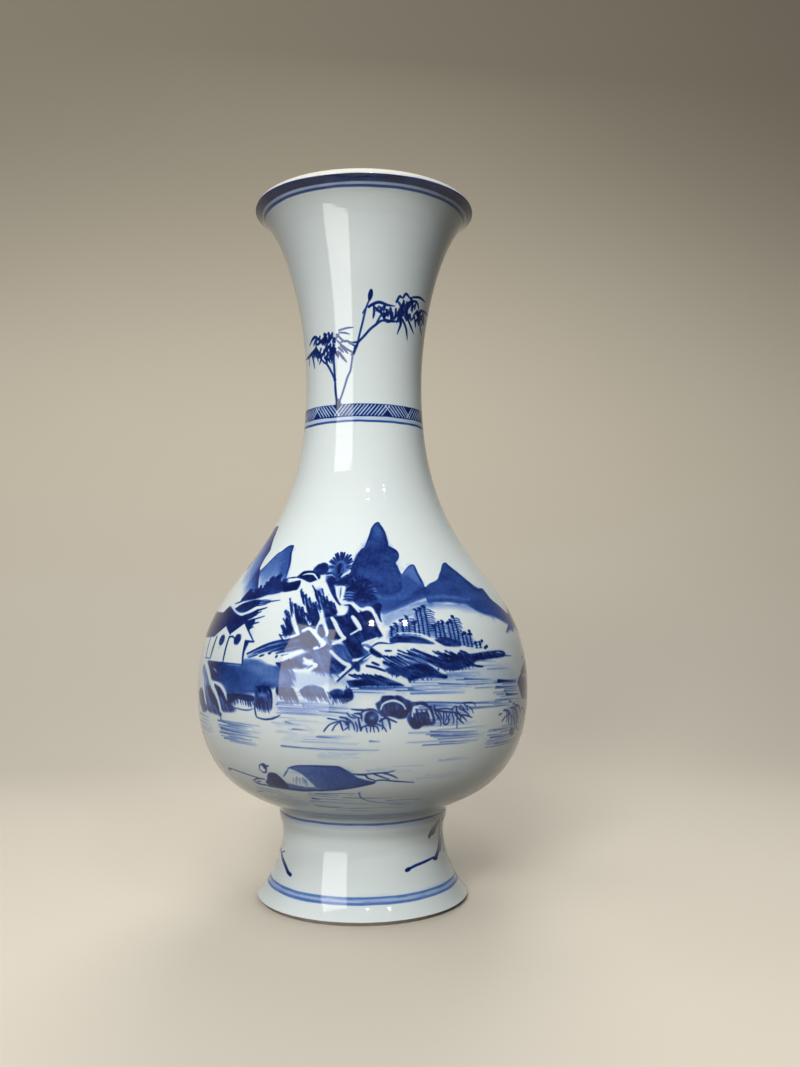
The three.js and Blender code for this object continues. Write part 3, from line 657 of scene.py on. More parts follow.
def cliff():
    wash([(-22, 91.5), (-14, 92), (-6, 92), (1, 92), (3, 90), (1, 87), (-3, 84.6), (-6, 83), (-10, 83),
         (-16, 83.6), (-18, 84.6), (-16, 86), (-17, 88.5)], 0.66, soft=0.5, uneven=0.2, grain=(-50, 0.3))
    wash([(-23, 83.4), (-18, 83.6), (-10, 83), (-5, 82), (-5, 79.6), (-12, 79.4), (-22, 79)], 0.17, soft=0.5)
    for shade, tone in (([(-19, 108.8), (-16.8, 109.2), (-15, 106.8), (-12, 105.2), (-10.2, 103.8),
              (-11, 102.8), (-15, 103), (-17.5, 106)], 0.3),
            ([(-24.6, 107), (-21.5, 106.2), (-18, 103.9), (-16.4, 102.8), (-19, 101.8), (-22, 103.2)], 0.4),
            ([(-27.9, 104.3), (-25.5, 104), (-22.7, 102.6), (-22, 100.3), (-26, 101.3)], 0.4),
            ([(-28.8, 101), (-26.6, 100.2), (-24.3, 97.2), (-25.6, 94.6), (-28, 94.2), (-27.8, 97)], 0.3),
            ([(-13.7, 94.5), (-11.5, 94.6), (-10.2, 93.2), (-9.6, 91.4), (-11.5, 90.6), (-13.7, 91),
              (-12.4, 92.4)], 0.66)):
        wash(shade, tone, soft=0.6, grain=(-58, 0.5))
    for hollow in DARK_HOLLOWS:
        wash(hollow, 0.92, soft=0.35, uneven=0.08, grain=(-58, 0.16))
    # crest: dark line, white line, dark patches and the white cap that the folds hang from
    wash([(-34, 110.9), (-31, 111.3), (-27.2, 111.7), (-27.1, 109), (-29, 108.5), (-34, 108.1)], 0.94,
        soft=0.25)
    wash([(-30.2, 112.7), (-28, 114.5), (-26.5, 114.9), (-22.3, 114.9), (-19.5, 113.8), (-18.6, 112.4),
         (-20.8, 111.6), (-22.6, 111.1), (-25, 111.7), (-27.3, 112.3)], 0.94, soft=0.25)
    brush([(-34.5, 112.5), (-31.5, 112.7), (-29.5, 112.9)], 0.6, 0.9)
    brush([(-34, 111.5), (-31, 112), (-27.6, 112.1)], 0.55, 0.97, lift=True)
    brush([(-27.3, 113.5), (-25.2, 113.9), (-22.3, 113.8), (-20.8, 113), (-19.4, 112)], 0.7, 0.97,
        ends=(0.4, 0.6), lift=True)
    wash([(-27, 111.5), (-22.6, 110.9), (-20, 111.6), (-17, 111.8), (-15.4, 110.4), (-17, 109.3),
         (-21, 109.6), (-25.5, 109.4)], 1.0, soft=0.25, uneven=0, lift=True)
    for fold, width in WHITE_FOLDS:
        brush(fold, width, 0.98, ends=(0.75, 0.75), lift=True)
    # steep strokes that rise out of each hollow into the white, each with a start of its own
    slants([(-25.4, 108.9), (-22.8, 107.1), (-20.9, 106.2), (-18.9, 104.5), (-17.5, 103.3)], -59, 3.6,
        0.42, ends=NAIL)
    slants([(-29.1, 105.9), (-27.8, 103.9), (-26.2, 104.2), (-24.1, 103.4)], -61, 3.4, 0.42, ends=NAIL)
    brush([(-21.1, 110.1), (-19.6, 108.7), (-18.2, 106.9), (-16.9, 104.9), (-15.5, 102.6)], 0.6, 0.95,
        ends=(0.6, 1.0))
    slants([(-18, 108.4), (-16.6, 109), (-15.9, 106.8), (-14.1, 106.5), (-12.2, 105), (-11, 104.5)], -57,
        1.9, 0.4, ends=NAIL)
    slants([(-29.6, 101.8), (-29.3, 99.6), (-29.3, 97.4), (-28.3, 96.1), (-29.2, 94.6)], -46, 2.8, 0.38,
        ends=NAIL)
    for line, way, long, count, stagger in (([(-24.6, 106.6), (-21.5, 105.4), (-18, 102.9), (-16.2, 102)],
             -59, 3.0, 20, 2.4),
            ([(-18.6, 107), (-15.5, 105.6), (-12.5, 104), (-10.2, 103)], -57, 2.3, 26, 2.0),
            ([(-27.8, 103.2), (-25, 102.7), (-22.5, 101.5), (-21.2, 100.4)], -60, 2.8, 17, 1.8),
            ([(-28.2, 101), (-27.2, 99.4), (-27.8, 97), (-28, 95)], -47, 2.8, 18, 1.4),
            ([(-22.5, 102), (-20, 100.6), (-18.5, 99)], -58, 2.6, 8, 0.8)):
        fringe(line, way, long, int(1.3 * count), 0.3, 0.95, 0.25, ends=NAIL, stagger=1.3 * stagger)
    strokes([([(-29, 94.3), (-26.5, 94.7), (-24, 95)], 0.5), ([(-28.4, 95.4), (-26, 95.4)], 0.45)], 0.85)
    slants([(-18, 95.3), (-17, 94.2), (-16, 93.4)], -52, 2.6, 0.6)
    slants([(-14.6, 89.2), (-12.8, 89.8), (-11.4, 88.9), (-13.6, 87.4), (-9.8, 88), (-8.4, 86.6),
         (-12, 85.8)], -48, 3.4, 0.5, 0.72)
    fringe([(-15.5, 84.6), (-12, 84), (-8, 84)], -55, 2.6, 11, 0.4, 0.5)
    # the thin dark edge right of the first fold, and the edge under the lowest one
    wash([(-16, 112.4), (-13, 111), (-11.4, 109.4), (-10.4, 106.8), (-8.9, 104.9), (-8.2, 103.7),
         (-9.7, 104.6), (-12, 107), (-14.3, 109.9)], 0.93, soft=0.25)
    wash([(-8.2, 105.4), (-4.6, 105.5), (-2.9, 104.3), (-0.8, 103.1), (1.5, 103.6), (3.4, 103),
         (4.6, 101.2), (6.2, 104), (4, 107), (0, 106.8), (-5, 106.8)], 0.74, soft=0.3, grain=(20, 0.2))
    brush([(2.8, 89.5), (0.7, 88.1), (-1.7, 86.5), (-3.5, 84.8), (-5.6, 83), (-8, 80.8)], 0.6, 0.9,
        ends=(0.5, 0.9))
    wash([(-3.4, 86.2), (-1.6, 86.4), (-1, 84.8), (-1.6, 83.6), (-3.2, 85)], 0.9, soft=0.25)


print("cliff:", len(DARK_HOLLOWS), "dark hollows,", len(WHITE_FOLDS), "white folds")

# %% Pines and leaves on the cliff
def cliff_trees():
    wash([(-22.9, 115.9), (-21.1, 117), (-18.7, 117.4), (-16.9, 117), (-15.6, 115.4), (-16.5, 113.9),
         (-19, 113.6), (-21.3, 114.6)], 0.84, soft=0.3)
    dabs((-19, 115.8, 3.2, 1.6), 26, (1.5, 0.7), 0.93, lean=0.9)
    wash([(-17, 114.5), (-14, 114.5), (-11, 114.5), (-7, 113.5), (-4, 115.5), (-2, 113.5), (2, 112),
         (4, 110), (3.5, 106.5), (0, 105.3), (-4, 105), (-7, 105.6), (-8, 109.7), (-11.5, 110.1),
         (-15, 111.5)], 0.78, soft=0.5, uneven=0.15, grain=(35, 0.3))
    wash([(-15.9, 111.8), (-14.2, 113), (-12, 112.4), (-11.2, 110.8), (-13.6, 110)], 0.95, soft=0.5)
    wash([(-6, 110.6), (-4, 111.3), (-2, 110.4), (-3, 108.8), (-5.4, 108.8)], 0.95, soft=0.7)
    dabs((-9, 112.4, 4.4, 1.6), 26, (1.4, 0.6), 0.93, lean=0.9)
    dabs((-5.5, 107, 1.8, 1.8), 12, (1.6, 0.55), 0.9, lean=0.4)
    needles(-10.5, 116.1, 5.9, 5.0, (-12, 190), 17)
    needles(-1.0, 108.6, 5.6, 4.3, (-75, 75), 13, 0.7, 0.88)
    needles(-1.5, 109.4, 5.0, 4.2, (75, 165), 7, 0.6, 0.88)
    for z in (107.9, 107, 106.1):
        brush([(-7, z), (-5.4, z + 0.1), (-3.8, z - 0.2)], 0.4, 0.55, lift=True)
    wash([(-11.3, 109.6), (-9.5, 109.8), (-7.1, 109.7), (-7.7, 106.3), (-8.2, 105), (-9.2, 105)], 0.97,
        soft=0.2, lift=True, uneven=0.0)
    brush([(-9, 109.6), (-8.9, 107.8), (-8.9, 106)], 0.45, 0.6)
    brush([(-9.5, 112.8), (-8.4, 113.6), (-7, 114.2), (-6.1, 114.7)], 0.9, 0.85, ends=(0.4, 0.9), lift=True)
    brush([(-18, 112.7), (-16.3, 113.3), (-14, 113.5), (-11.7, 112.6)], 0.4, 0.85, lift=True)


print("trees on the cliff: two needle pines and leaves between them")

# %% [markdown]
# ## Peaks, wooded spit and right hills
#
# The peaks are washed in flat strokes that pool along their right edges. The spit below them is
# white ground hatched from its lower side, with dark trees standing apart on it and separate
# level branches at their right.

# %% Middle and right mountains
PEAK_RIDGE = [
    (-6, 113.5), (-5, 116.8), (-4, 118), (-3, 119.8), (-2, 121), (-1, 122), (0.5, 122.5), (1.5, 123.8),
    (2.5, 125.5), (3.5, 127), (4.5, 128.8), (5.5, 129.8), (7, 130.8), (9, 131.2), (9.7, 130.3),
    (11, 129.3), (12, 127.7), (12.3, 126), (12.7, 124.5), (12.7, 123.2), (14, 122.7), (16, 122),
    (17.2, 121), (17, 119.5), (15.5, 118.3), (14.8, 117.5), (15.3, 116), (15.8, 114.5), (16.4, 113.6)]


def peaks():
    wash(PEAK_RIDGE + [(15.2, 108.5), (11, 106.6), (6, 107), (3.5, 110), (-3, 112)], 0.74, soft=0.3,
        uneven=0.1, grain=(14, 0.04))
    wash([(-5, 116), (-1, 121.4), (3, 125), (8, 126), (12.5, 124), (14, 121.5), (14.6, 117), (13, 114),
         (6, 114), (-1, 114)], 0.5, soft=1.8, uneven=0.16, grain=(14, 0.07))
    wash([(5.5, 129), (8, 130), (10.5, 128), (10, 125.5), (6, 125.5)], 0.16, soft=1.2, lift=True)
    wash([(3, 108), (8, 108.5), (14, 109.5), (16.5, 113), (20, 113), (25.3, 109.5), (26, 106.8), (20, 105),
         (13, 102.8), (7, 101), (5, 103), (4, 105.5)], 0.6, soft=0.6, uneven=0.12)
    brush(PEAK_RIDGE, 0.5, 0.9, ends=(0.7, 0.6))
    strokes([([(9.6, 130.2), (11.2, 127.8), (12, 125.4), (12.4, 123.2)], 1.3),
         ([(12.6, 122.8), (15, 121.7), (16.8, 120.6)], 1.6), ([(16.5, 119.3), (15.2, 118.2)], 1.0),
         ([(15.2, 116.6), (15.6, 113.5), (15, 110.3), (14.6, 107.5)], 0.8),
         ([(-5, 116.3), (-2.6, 120), (-0.6, 121.6)], 1.2)], 0.66, (0.6, 0.5), soft=0.7)
    hill([(16, 113), (17, 113.7), (19, 115.2), (21, 116.3), (22.5, 116.8), (23.7, 116.7), (24, 115.5),
         (24.3, 114), (24.6, 113), (25, 112), (25.2, 110)], [(16, 106.5), (20, 106), (25.2, 107.5)], 0.56,
        0.4, outline=0.82, line=0.5)
    strokes([([(23.6, 116.3), (24, 113.8), (24.8, 111.4), (25, 109.6)], 0.9),
         ([(20.6, 107.4), (23, 108.4), (25.4, 109.3)], 1.3)], 0.78, (0.6, 0.6), soft=0.5)
    hill([(24.8, 109), (26.5, 109.8), (28.5, 110.7), (31, 111.3), (33.5, 112.2), (35.5, 113.7),
         (37.5, 115), (39.5, 116.5), (41, 117.3), (43.2, 117.7), (44, 116.8), (46, 115.3), (48, 114),
         (50, 112.3), (52, 111), (54, 109.5), (56, 108.8), (58, 109), (60, 109), (60.7, 107.5),
         (61.5, 105.5), (63, 104.7), (66, 103.5), (69, 102), (73, 100), (78, 97.4), (84, 94.6)],
        [(24, 104.8), (30, 104.6), (36, 104.6), (42, 103.6), (46, 102.6), (50, 101), (56, 99.5), (62, 98),
         (68, 96.6), (76, 95), (84, 94.1)], 0.74, 0.66, foot_edge=1.0, outline=0.88, line=0.5)
    strokes([([(42.8, 117.3), (46, 114.8), (50, 111.7), (54, 109.3), (58, 108.6)], 2.2),
         ([(60, 108.8), (60.9, 106), (62.6, 104.8)], 1.2)], 0.5, (0.5, 0.6), soft=0.8)
    brush([(25, 106.3), (32, 106.6), (40, 106), (46, 105.4)], 1.4, 0.28, lift=True, soft=0.8)
    hill([(25, 104.5), (40, 103.8), (48, 102.8), (56, 100)],
        [(25, 102.6), (40, 101.6), (48, 100.4), (56, 98.6)], 0.34, 0.1, foot_edge=1.2)
    brush([(8, 103), (12, 104.2), (19, 106.2), (26, 107.8)], 2.2, 0.7, ends=(0.6, 0.5), soft=1.8)
    wash([(6.4, 100.6), (14, 102.8), (20, 104.7), (26, 105.4), (26.5, 103), (22, 103), (17, 100.5),
         (12, 99.6), (7.6, 97.4)], 0.3, soft=0.6, grain=(16, 0.3))
    wash([(4, 104.6), (6.6, 104.3), (6.4, 102.8), (5.8, 101), (6.2, 98.6), (5.3, 99.6), (4.4, 101.6),
         (3.2, 103.4)], 0.92, soft=0.25)


print("peaks:", len(PEAK_RIDGE), "points along the middle ridge")

# %% Wooded spit
def spit():
    # woods: a middle tone, then trees that stand apart
    wash([(8, 93.5), (8.6, 96.2), (11.5, 97.6), (13, 99), (15, 100), (17, 99), (18, 101), (20, 102.8),
         (22.6, 103.2), (23, 99), (24.5, 97.5), (28, 98), (30.5, 98), (33, 99.5), (34.6, 97), (35, 94.5),
         (39, 94), (41, 91.6), (43.4, 91), (38, 90.6), (32, 92), (26, 93.5), (18, 94.5), (11, 94.8)], 0.34,
        soft=0.6, uneven=0.2, grain=(85, 0.5))
    for x, base, top, spread in ((9.3, 94.4, 96.8, 0.9), (11.2, 94.8, 97.8, 0.9), (13.4, 95, 99.4, 1.0),
            (15.4, 95, 100.2, 1.2), (17.5, 94.8, 98.8, 0.8), (19, 94.6, 102.4, 0.8),
            (20.6, 94.5, 103.1, 0.8), (22.3, 94.2, 103.5, 0.9), (25, 93.8, 97.6, 0.8),
            (26.6, 93.8, 98.3, 0.9), (28.3, 93.6, 98.7, 1.0), (30.6, 93.2, 98.2, 0.8),
            (32.2, 92.8, 99, 0.8), (33.7, 92.2, 100.2, 0.9), (35.7, 91.2, 94.6, 0.8),
            (37.2, 90.8, 95, 0.9), (38.9, 90.6, 94.4, 0.8), (41, 90.2, 92, 0.8), (42.8, 90.2, 91.8, 0.8)):
        tree(x, base, top, spread)
    for x, z, drop, reach, count in ((22.8, 102.6, 7.4, 3.4, 11), (34.2, 99.6, 5.4, 2.5, 8),
            (16.4, 99.6, 4.2, 1.6, 5)):
        for k in range(count):
            up, out = z - drop * k / count, reach * rng.uniform(0.6, 1.05)
            brush([(x, up), (x + out * 0.6, up - 0.1), (x + out, up - 0.5)], 0.36, 0.85, ends=(1, 0.7))
    for x, z in ((39.1, 95.4), (44.1, 92.1), (46, 90.3), (45, 89.9)):
        brush([(x - 0.35, z), (x + 0.35, z + 0.1)], 1.1, 0.95)
    # dark lenses of ground, a white line over them and the white ground below
    wash([(8.4, 93.6), (11, 94.6), (14, 94.6), (19, 94), (23.4, 92.2), (23.6, 91.7), (20, 91.9),
         (12, 92.4), (9, 92)], 0.76, soft=0.3, grain=(-6, 0.2))
    wash([(24, 93), (27, 93.9), (31, 93.3), (34.2, 91.8), (33.6, 90.8), (28, 91), (25.2, 92.2)], 0.86,
        soft=0.3, grain=(-6, 0.15))
    brush([(11, 95.3), (16, 95.2), (20.5, 94.4), (24.2, 92.5), (27, 91)], 0.6, 0.95, lift=True)
    wash([(2.5, 91), (5, 92.1), (10, 91.8), (20, 91.5), (26, 90.7), (34, 90.1), (38, 89.3), (34, 88.8),
         (28, 88.3), (20, 88.5), (12, 88), (8, 88.3), (5, 89.5)], 0.97, soft=0.3, uneven=0.0, lift=True)
    brush([(2.5, 91.1), (5, 92.3), (9, 92)], 0.55, 0.9)
    wash([(2.6, 91), (4, 90), (6, 88.6), (5.4, 87.8), (3.6, 88.4), (1.8, 89.8)], 0.92, soft=0.2)
    # dark ground in three steps, each fed by strokes that come down from the left
    wash([(19, 87.3), (23, 87.2), (28, 87), (31.5, 87.6), (32.4, 89), (35, 88.8), (38, 88.3), (44, 88.7),
         (50, 88.8), (54, 88.7), (56.4, 87.9), (55.5, 86.7), (50, 86.4), (44, 86.2), (40, 86),
         (37.5, 84.7), (34, 84), (30.5, 83.3), (28, 83.6), (25, 84.3), (22, 85.6)], 0.86, soft=0.35,
        uneven=0.08, grain=(-18, 0.18))
    wash([(6.6, 84.4), (9, 85.2), (12, 84.9), (16, 85.8), (20, 85.9), (23, 84.3), (25, 82.8), (27.4, 82),
         (27, 81), (24, 81.3), (20, 81.5), (16, 81), (14.3, 80.2), (13.6, 81.6), (11, 82.3), (8, 83)],
        0.84, soft=0.35, uneven=0.08, grain=(-18, 0.22))
    wash([(6, 87), (9, 88), (14, 88.6), (20, 88.2), (24, 87.4), (20, 85.4), (15, 85.2), (10, 84.6),
         (6.6, 85.4)], 0.4, soft=0.6, grain=(-20, 0.5))
    wash([(-5.5, 80.9), (-2, 81.3), (2, 82), (6, 82), (9, 81), (12.8, 79.3), (10, 79.2), (5, 79.4),
         (0, 79.3), (-3.5, 79)], 0.84, soft=0.35, grain=(-18, 0.22))
    for line, way, long, count in (([(10.6, 89.7), (13, 89.4), (16.2, 90.1), (18, 89.3)], -20, 6.5, 5),
            ([(22.8, 89.7), (25, 88.8), (27.5, 89)], -24, 6, 5),
            ([(12.6, 88.6), (15.5, 88.4), (19, 88.3), (22, 88)], -20, 5.5, 6),
            ([(6.4, 87.6), (9, 88), (11.5, 87.6)], -30, 5.5, 6),
            ([(6, 86.3), (8, 86), (10, 86)], -26, 5, 5), ([(28, 89.2), (31, 88.8)], -26, 3.4, 4)):
        fringe(line, way, long, int(1.5 * count), 0.34, 0.95, 0.22, ends=NAIL, stagger=0.8)
    fringe([(19.6, 88.2), (25, 88), (31, 88.4)], -20, 5, 12, 0.38, 0.95, 0.2, ends=NAIL)
    fringe([(-5, 82.6), (-2.4, 82.6), (0, 82.8), (3.2, 82.8), (5.6, 82)], -22, 3.0, 11, 0.38, 0.95, 0.2,
        ends=NAIL)
    fringe([(-5.2, 79.6), (0, 79.6), (6, 79.6), (11.6, 79.6)], -70, 0.7, 26, 0.3, 0.85)
    fringe([(9, 82.8), (12, 82.3), (15, 81.2), (22, 81.6)], -70, 0.8, 22, 0.3, 0.85)
    fringe([(24, 84.4), (28, 83.9), (34, 84.2), (38, 85)], -66, 0.8, 22, 0.3, 0.85)
    brush([(50.5, 88.2), (52, 88.2), (54, 87.6)], 0.4, 0.85, lift=True)
    strokes([([(37, 85.3), (39.5, 84.4), (42.4, 84.1)], 0.75),
         ([(1, 85.4), (3.6, 84.9), (6.8, 83.8)], 0.75), ([(2.8, 86.4), (4.8, 85.6)], 0.75),
         ([(7, 89.9), (8.9, 89.9)], 0.6), ([(33.4, 89.4), (36, 88.7)], 0.6),
         ([(27.5, 89.5), (28.1, 89.3)], 0.6)], 0.92, (0.9, 0.7))
    brush([(11.6, 82.2), (12.6, 81.2), (13.6, 79.6)], 0.9, 0.95, lift=True)
    for x in (34, 37, 40.5, 43, 47):
        brush([(x, 88.8), (x + 0.5, 88), (x + 0.9, 87.3)], 0.35, 0.35, lift=True)


print("spit: white ground, three dark steps and a wood of single trees")

# %% [markdown]
# ## Rocks, reeds, water and the boat
#
# The near rocks are ringed with a loaded brush and hatched inside. Water is left white but for
# long thin level strokes. A boat with an awning lies in the foreground, its rower at the stern.

# %% Rocks and reeds
def rocks():
    first = [(3.7, 74), (5.2, 75), (6, 76.3), (9, 76.3), (11.5, 76.2), (13, 75.2), (15, 74.3), (15, 72.6),
        (14, 70.6), (13, 69.4), (11, 69.2), (9.5, 69.7), (8, 70.1), (5.6, 70.1), (4.4, 71.8)]
    wash(first, 0.86, soft=0.35, uneven=0.1, grain=(-70, 0.2))
    brush([(5.3, 72.2), (6, 73.8), (8, 74.7), (10, 74.7), (12, 73.7), (13.1, 72.1)], 0.75, 0.95,
        ends=(0.6, 0.6), lift=True)
    fringe([(6.4, 73.2), (9, 74), (12, 72.6)], -72, 2.4, 8, 0.3, 0.35, ends=(0.8, 0.4), fade=(1, 0.5))
    for k in range(4):
        brush([(6.2 + 1.3 * k, 73.2), (6.4 + 1.3 * k, 71.6)], 0.22, 0.4, lift=True)
    second = [(14.9, 73.7), (17, 74.3), (19.4, 74.1), (20.6, 73), (21.6, 73), (22.4, 70.4), (23, 68.4),
        (22.9, 67.2), (21.5, 66.8), (19, 66.8), (17.4, 65.9), (15.6, 66.1), (14.2, 67.6), (13.5, 69.5),
        (14.4, 71)]
    wash(second, 0.86, soft=0.35, uneven=0.1, grain=(-66, 0.2))
    wash([(15.4, 72.9), (18, 73.3), (20.4, 72.2), (21, 71.6), (22, 68.6), (21.4, 68.2), (20.4, 70.8),
         (18.4, 71), (16.4, 71), (15.3, 69.4), (14.9, 70.6)], 0.97, soft=0.2, lift=True, uneven=0)
    slants([(16.4, 72.1), (18, 72), (19.7, 71.9), (15.6, 70.8), (17.2, 71)], -68, 2.4, 0.6, 0.93)
    for k in range(4):
        brush([(16.2 + 1.2 * k, 70.6), (16.9 + 1.2 * k, 68.2)], 0.22, 0.4, lift=True)
    wash([(0.2, 69.6), (0.9, 71.2), (2.6, 71.8), (4.3, 71), (4.6, 69.2), (3.6, 67.5), (1.8, 67.4),
         (0.5, 68.3)], 0.9, soft=0.3, grain=(30, 0.3))
    wash(oval(2.6, 69.6, 0.7, 0.6), 0.6, soft=0.4, lift=True)
    strokes([([(-1, 70.6), (0.2, 71.9), (3, 72.2), (4.8, 71)], 0.7),
         ([(-3.6, 72.3), (-1, 72.1), (2, 72.1)], 0.6), ([(-2.8, 71), (-0.8, 70.8), (-0.4, 68.6)], 0.7),
         ([(-1.6, 69.8), (-1, 67), (-0.6, 65.6)], 0.7)], 0.88)


REED_LINES = (
    ([(-12.3, 65.5), (-10.5, 67.5), (-8, 68.5), (-6, 68.8)], 0.5), ([(-7.2, 68.8), (-6.3, 65.8)], 0.65),
    ([(-6, 68.7), (-4.5, 67.2), (-5.9, 66)], 0.5), ([(-11, 69.5), (-8, 69)], 0.5),
    ([(-7.2, 69.9), (-5, 69.5), (-3.3, 68), (-2.6, 65.9)], 0.6),
    ([(-5, 71.2), (-4, 70), (-2.4, 69.6)], 0.5), ([(-0.9, 65.8), (0, 67), (2, 67.4), (2.2, 65.4)], 0.55),
    ([(1.5, 67.3), (4, 67), (4.8, 65.4)], 0.55), ([(4, 67.8), (6, 67), (7.2, 65.4)], 0.55),
    ([(5, 68.6), (7, 69.6), (8, 68.2), (8.3, 66.2)], 0.75), ([(6.5, 70), (8.5, 69), (10.3, 68.2)], 0.7),
    ([(22.5, 72.8), (23, 70.5), (24.5, 68.8)], 0.7), ([(22.5, 72), (25, 71), (29, 70.5), (32, 70)], 0.7),
    ([(24.4, 71.2), (25.8, 70.5), (25.9, 67.4), (27.2, 66.8), (28.2, 68.4)], 0.6),
    ([(28.2, 70.6), (27.6, 68.8), (27.8, 67.4)], 0.5), ([(30.5, 72), (30.8, 70), (31, 65.4)], 0.55),
    ([(30, 70), (31.6, 68.2), (33.5, 66.7)], 0.65), ([(31, 70), (33, 68.8), (34.8, 67.4)], 0.6),
    ([(32.5, 69.5), (34.8, 69), (36.9, 68.3)], 0.6),
    ([(33.3, 73.2), (36, 73.1), (37.6, 72.8), (38.2, 71.9)], 0.55),
    ([(32, 72.4), (33.3, 71.4), (33.7, 70.2)], 0.55), ([(33.5, 72.8), (34.7, 71.6), (34.9, 70.6)], 0.5),
    ([(24, 70), (23.6, 68.5)], 0.5), ([(28.6, 71.3), (30, 72.2), (32, 71.9)], 0.5),
    ([(53, 69.2), (55, 69), (57, 68), (59.7, 66.2)], 0.75),
    ([(52.6, 65.8), (54, 66.8), (56.4, 67.8)], 0.6), ([(56.6, 68.4), (56.8, 66.6), (57, 64.4)], 0.8),
    ([(59.7, 68.5), (60.3, 66.4), (61, 65)], 0.55),
    ([(61.2, 70), (64, 69.8), (66, 68.8), (67.4, 67)], 0.85),
    ([(61.6, 69.4), (63.2, 66), (65, 62.6), (67.5, 61)], 0.9), ([(68, 68.6), (71, 67.9), (75, 65.8)], 0.7),
    ([(50.3, 68), (52, 68.3)], 0.55), ([(59.5, 70.8), (60.8, 70.6)], 0.6),
    ([(60.8, 67.6), (62.2, 64), (63.4, 61)], 0.6), ([(-9.6, 65.8), (-8.6, 67.4), (-7.2, 68.4)], 0.45),
    ([(-5.4, 69.6), (-4.6, 68), (-4.4, 66)], 0.45), ([(-3.4, 70.6), (-1.8, 69.8), (-0.6, 69.6)], 0.5),
    ([(-2.4, 68.4), (-1.8, 66.6), (-2, 65.4)], 0.5), ([(0.8, 66.9), (1.2, 65.2)], 0.45),
    ([(3, 67.2), (3.4, 65.2)], 0.45), ([(5.4, 69.4), (6, 67.6), (5.8, 66)], 0.5),
    ([(7.4, 70.2), (8.2, 71), (9, 70.6)], 0.5), ([(23, 71.4), (24.6, 70.2), (25.2, 68.4)], 0.55),
    ([(24, 71.8), (27, 71.8), (29.4, 71)], 0.5), ([(26.6, 70.8), (27, 69), (26.4, 67.6)], 0.5),
    ([(28.8, 70.2), (29.6, 68.2), (29.4, 66.6)], 0.5), ([(30.4, 71), (32, 69.2), (32.4, 67.2)], 0.5),
    ([(31.6, 71.6), (34, 70.4), (35.8, 69)], 0.5), ([(34.8, 72.2), (36.6, 71), (37.4, 69.6)], 0.45),
    ([(23.8, 69.4), (25, 67.6), (24.8, 66.4)], 0.5), ([(57.8, 69.6), (60, 69.4), (61.6, 68.4)], 0.6),
    ([(55, 68.6), (55.6, 66.8), (55.2, 65)], 0.55), ([(62.4, 68.6), (64.4, 66.2), (65.4, 64)], 0.6),
    ([(58.4, 67), (59.4, 65), (59.2, 63.2)], 0.6))


def reeds():
    for shade in ([(-9, 69), (-4, 70.6), (1, 71.6), (7, 69.6), (8, 67.4), (2, 66.2), (-5, 66.6)],
            [(22.8, 71.6), (28, 71.6), (34, 72.4), (36, 70), (32, 68), (27, 67.6), (23.6, 68.6)],
            [(54, 69.6), (61, 70.4), (66, 68.8), (66, 63.4), (60, 62.6), (56.6, 65.6)]):
        wash(shade, 0.17, soft=1.2, grain=(-60, 0.4))
    strokes([(line, 0.8 * width) for line, width in REED_LINES], 0.9, ends=(1.0, 0.6))
    wash([(59.2, 62.4), (60.6, 62.9), (62.4, 61.6), (62.8, 60.2), (60.8, 60.1), (59.2, 61)], 0.86, soft=0.4)
    wash([(-5.5, 68.8), (-4, 68.6), (-4.6, 67.4), (-5.6, 67.6)], 0.8, soft=0.3)


def right_rock():
    hill([(64, 78), (66, 79.3), (68, 80.3), (71, 82), (74, 83.5), (78, 84.5), (83, 84.2), (88, 81.5),
         (92, 77.5), (95, 73)], [(64, 77), (67, 73), (69, 71.5), (74, 71), (84, 70.5), (95, 71)], 0.8,
        0.82, foot_edge=0.4)
    fringe([(66, 78.5), (70, 80.5), (75, 82), (82, 82), (88, 79)], -66, 6, 26, 0.45, 0.92, stagger=1.5)
    brush([(72, 84.9), (74, 85.5), (76, 85.7)], 0.6, 0.85)
    brush([(69, 79), (73, 79.5), (77, 77.5), (80, 74)], 1.0, 0.9, lift=True)
    brush([(80, 81.5), (84, 79.5), (87, 76), (88, 73)], 0.9, 0.9, lift=True)


print("reeds:", len(REED_LINES), "strokes")

# %% Water
def ripples(x0, x1, z0, z1, count, tone=0.3, long=(9.0, 22.0), width=(0.3, 0.42)):
    """Thin pale strokes one above the other over a stretch of water, each dipping a little to the right."""
    count = int(1.5 * count)
    for k in range(count):
        z, reach = z0 + (z1 - z0) * (k + rng.uniform(0.2, 0.8)) / count, min(rng.uniform(*long), x1 - x0)
        x = rng.uniform(x0, x1 - reach) if rng.uniform() > 0.4 else x0 + rng.uniform(0, 1.5)
        x = min(x, x1 - reach)
        brush([(x, z), (x + reach / 2, z - 0.12 + rng.uniform(-0.05, 0.05)), (x + reach, z - 0.35)],
            rng.uniform(*width), tone * rng.uniform(0.8, 1.5), ends=(0.9, 0.5), fade=(1.1, 0.6), soft=0.14)


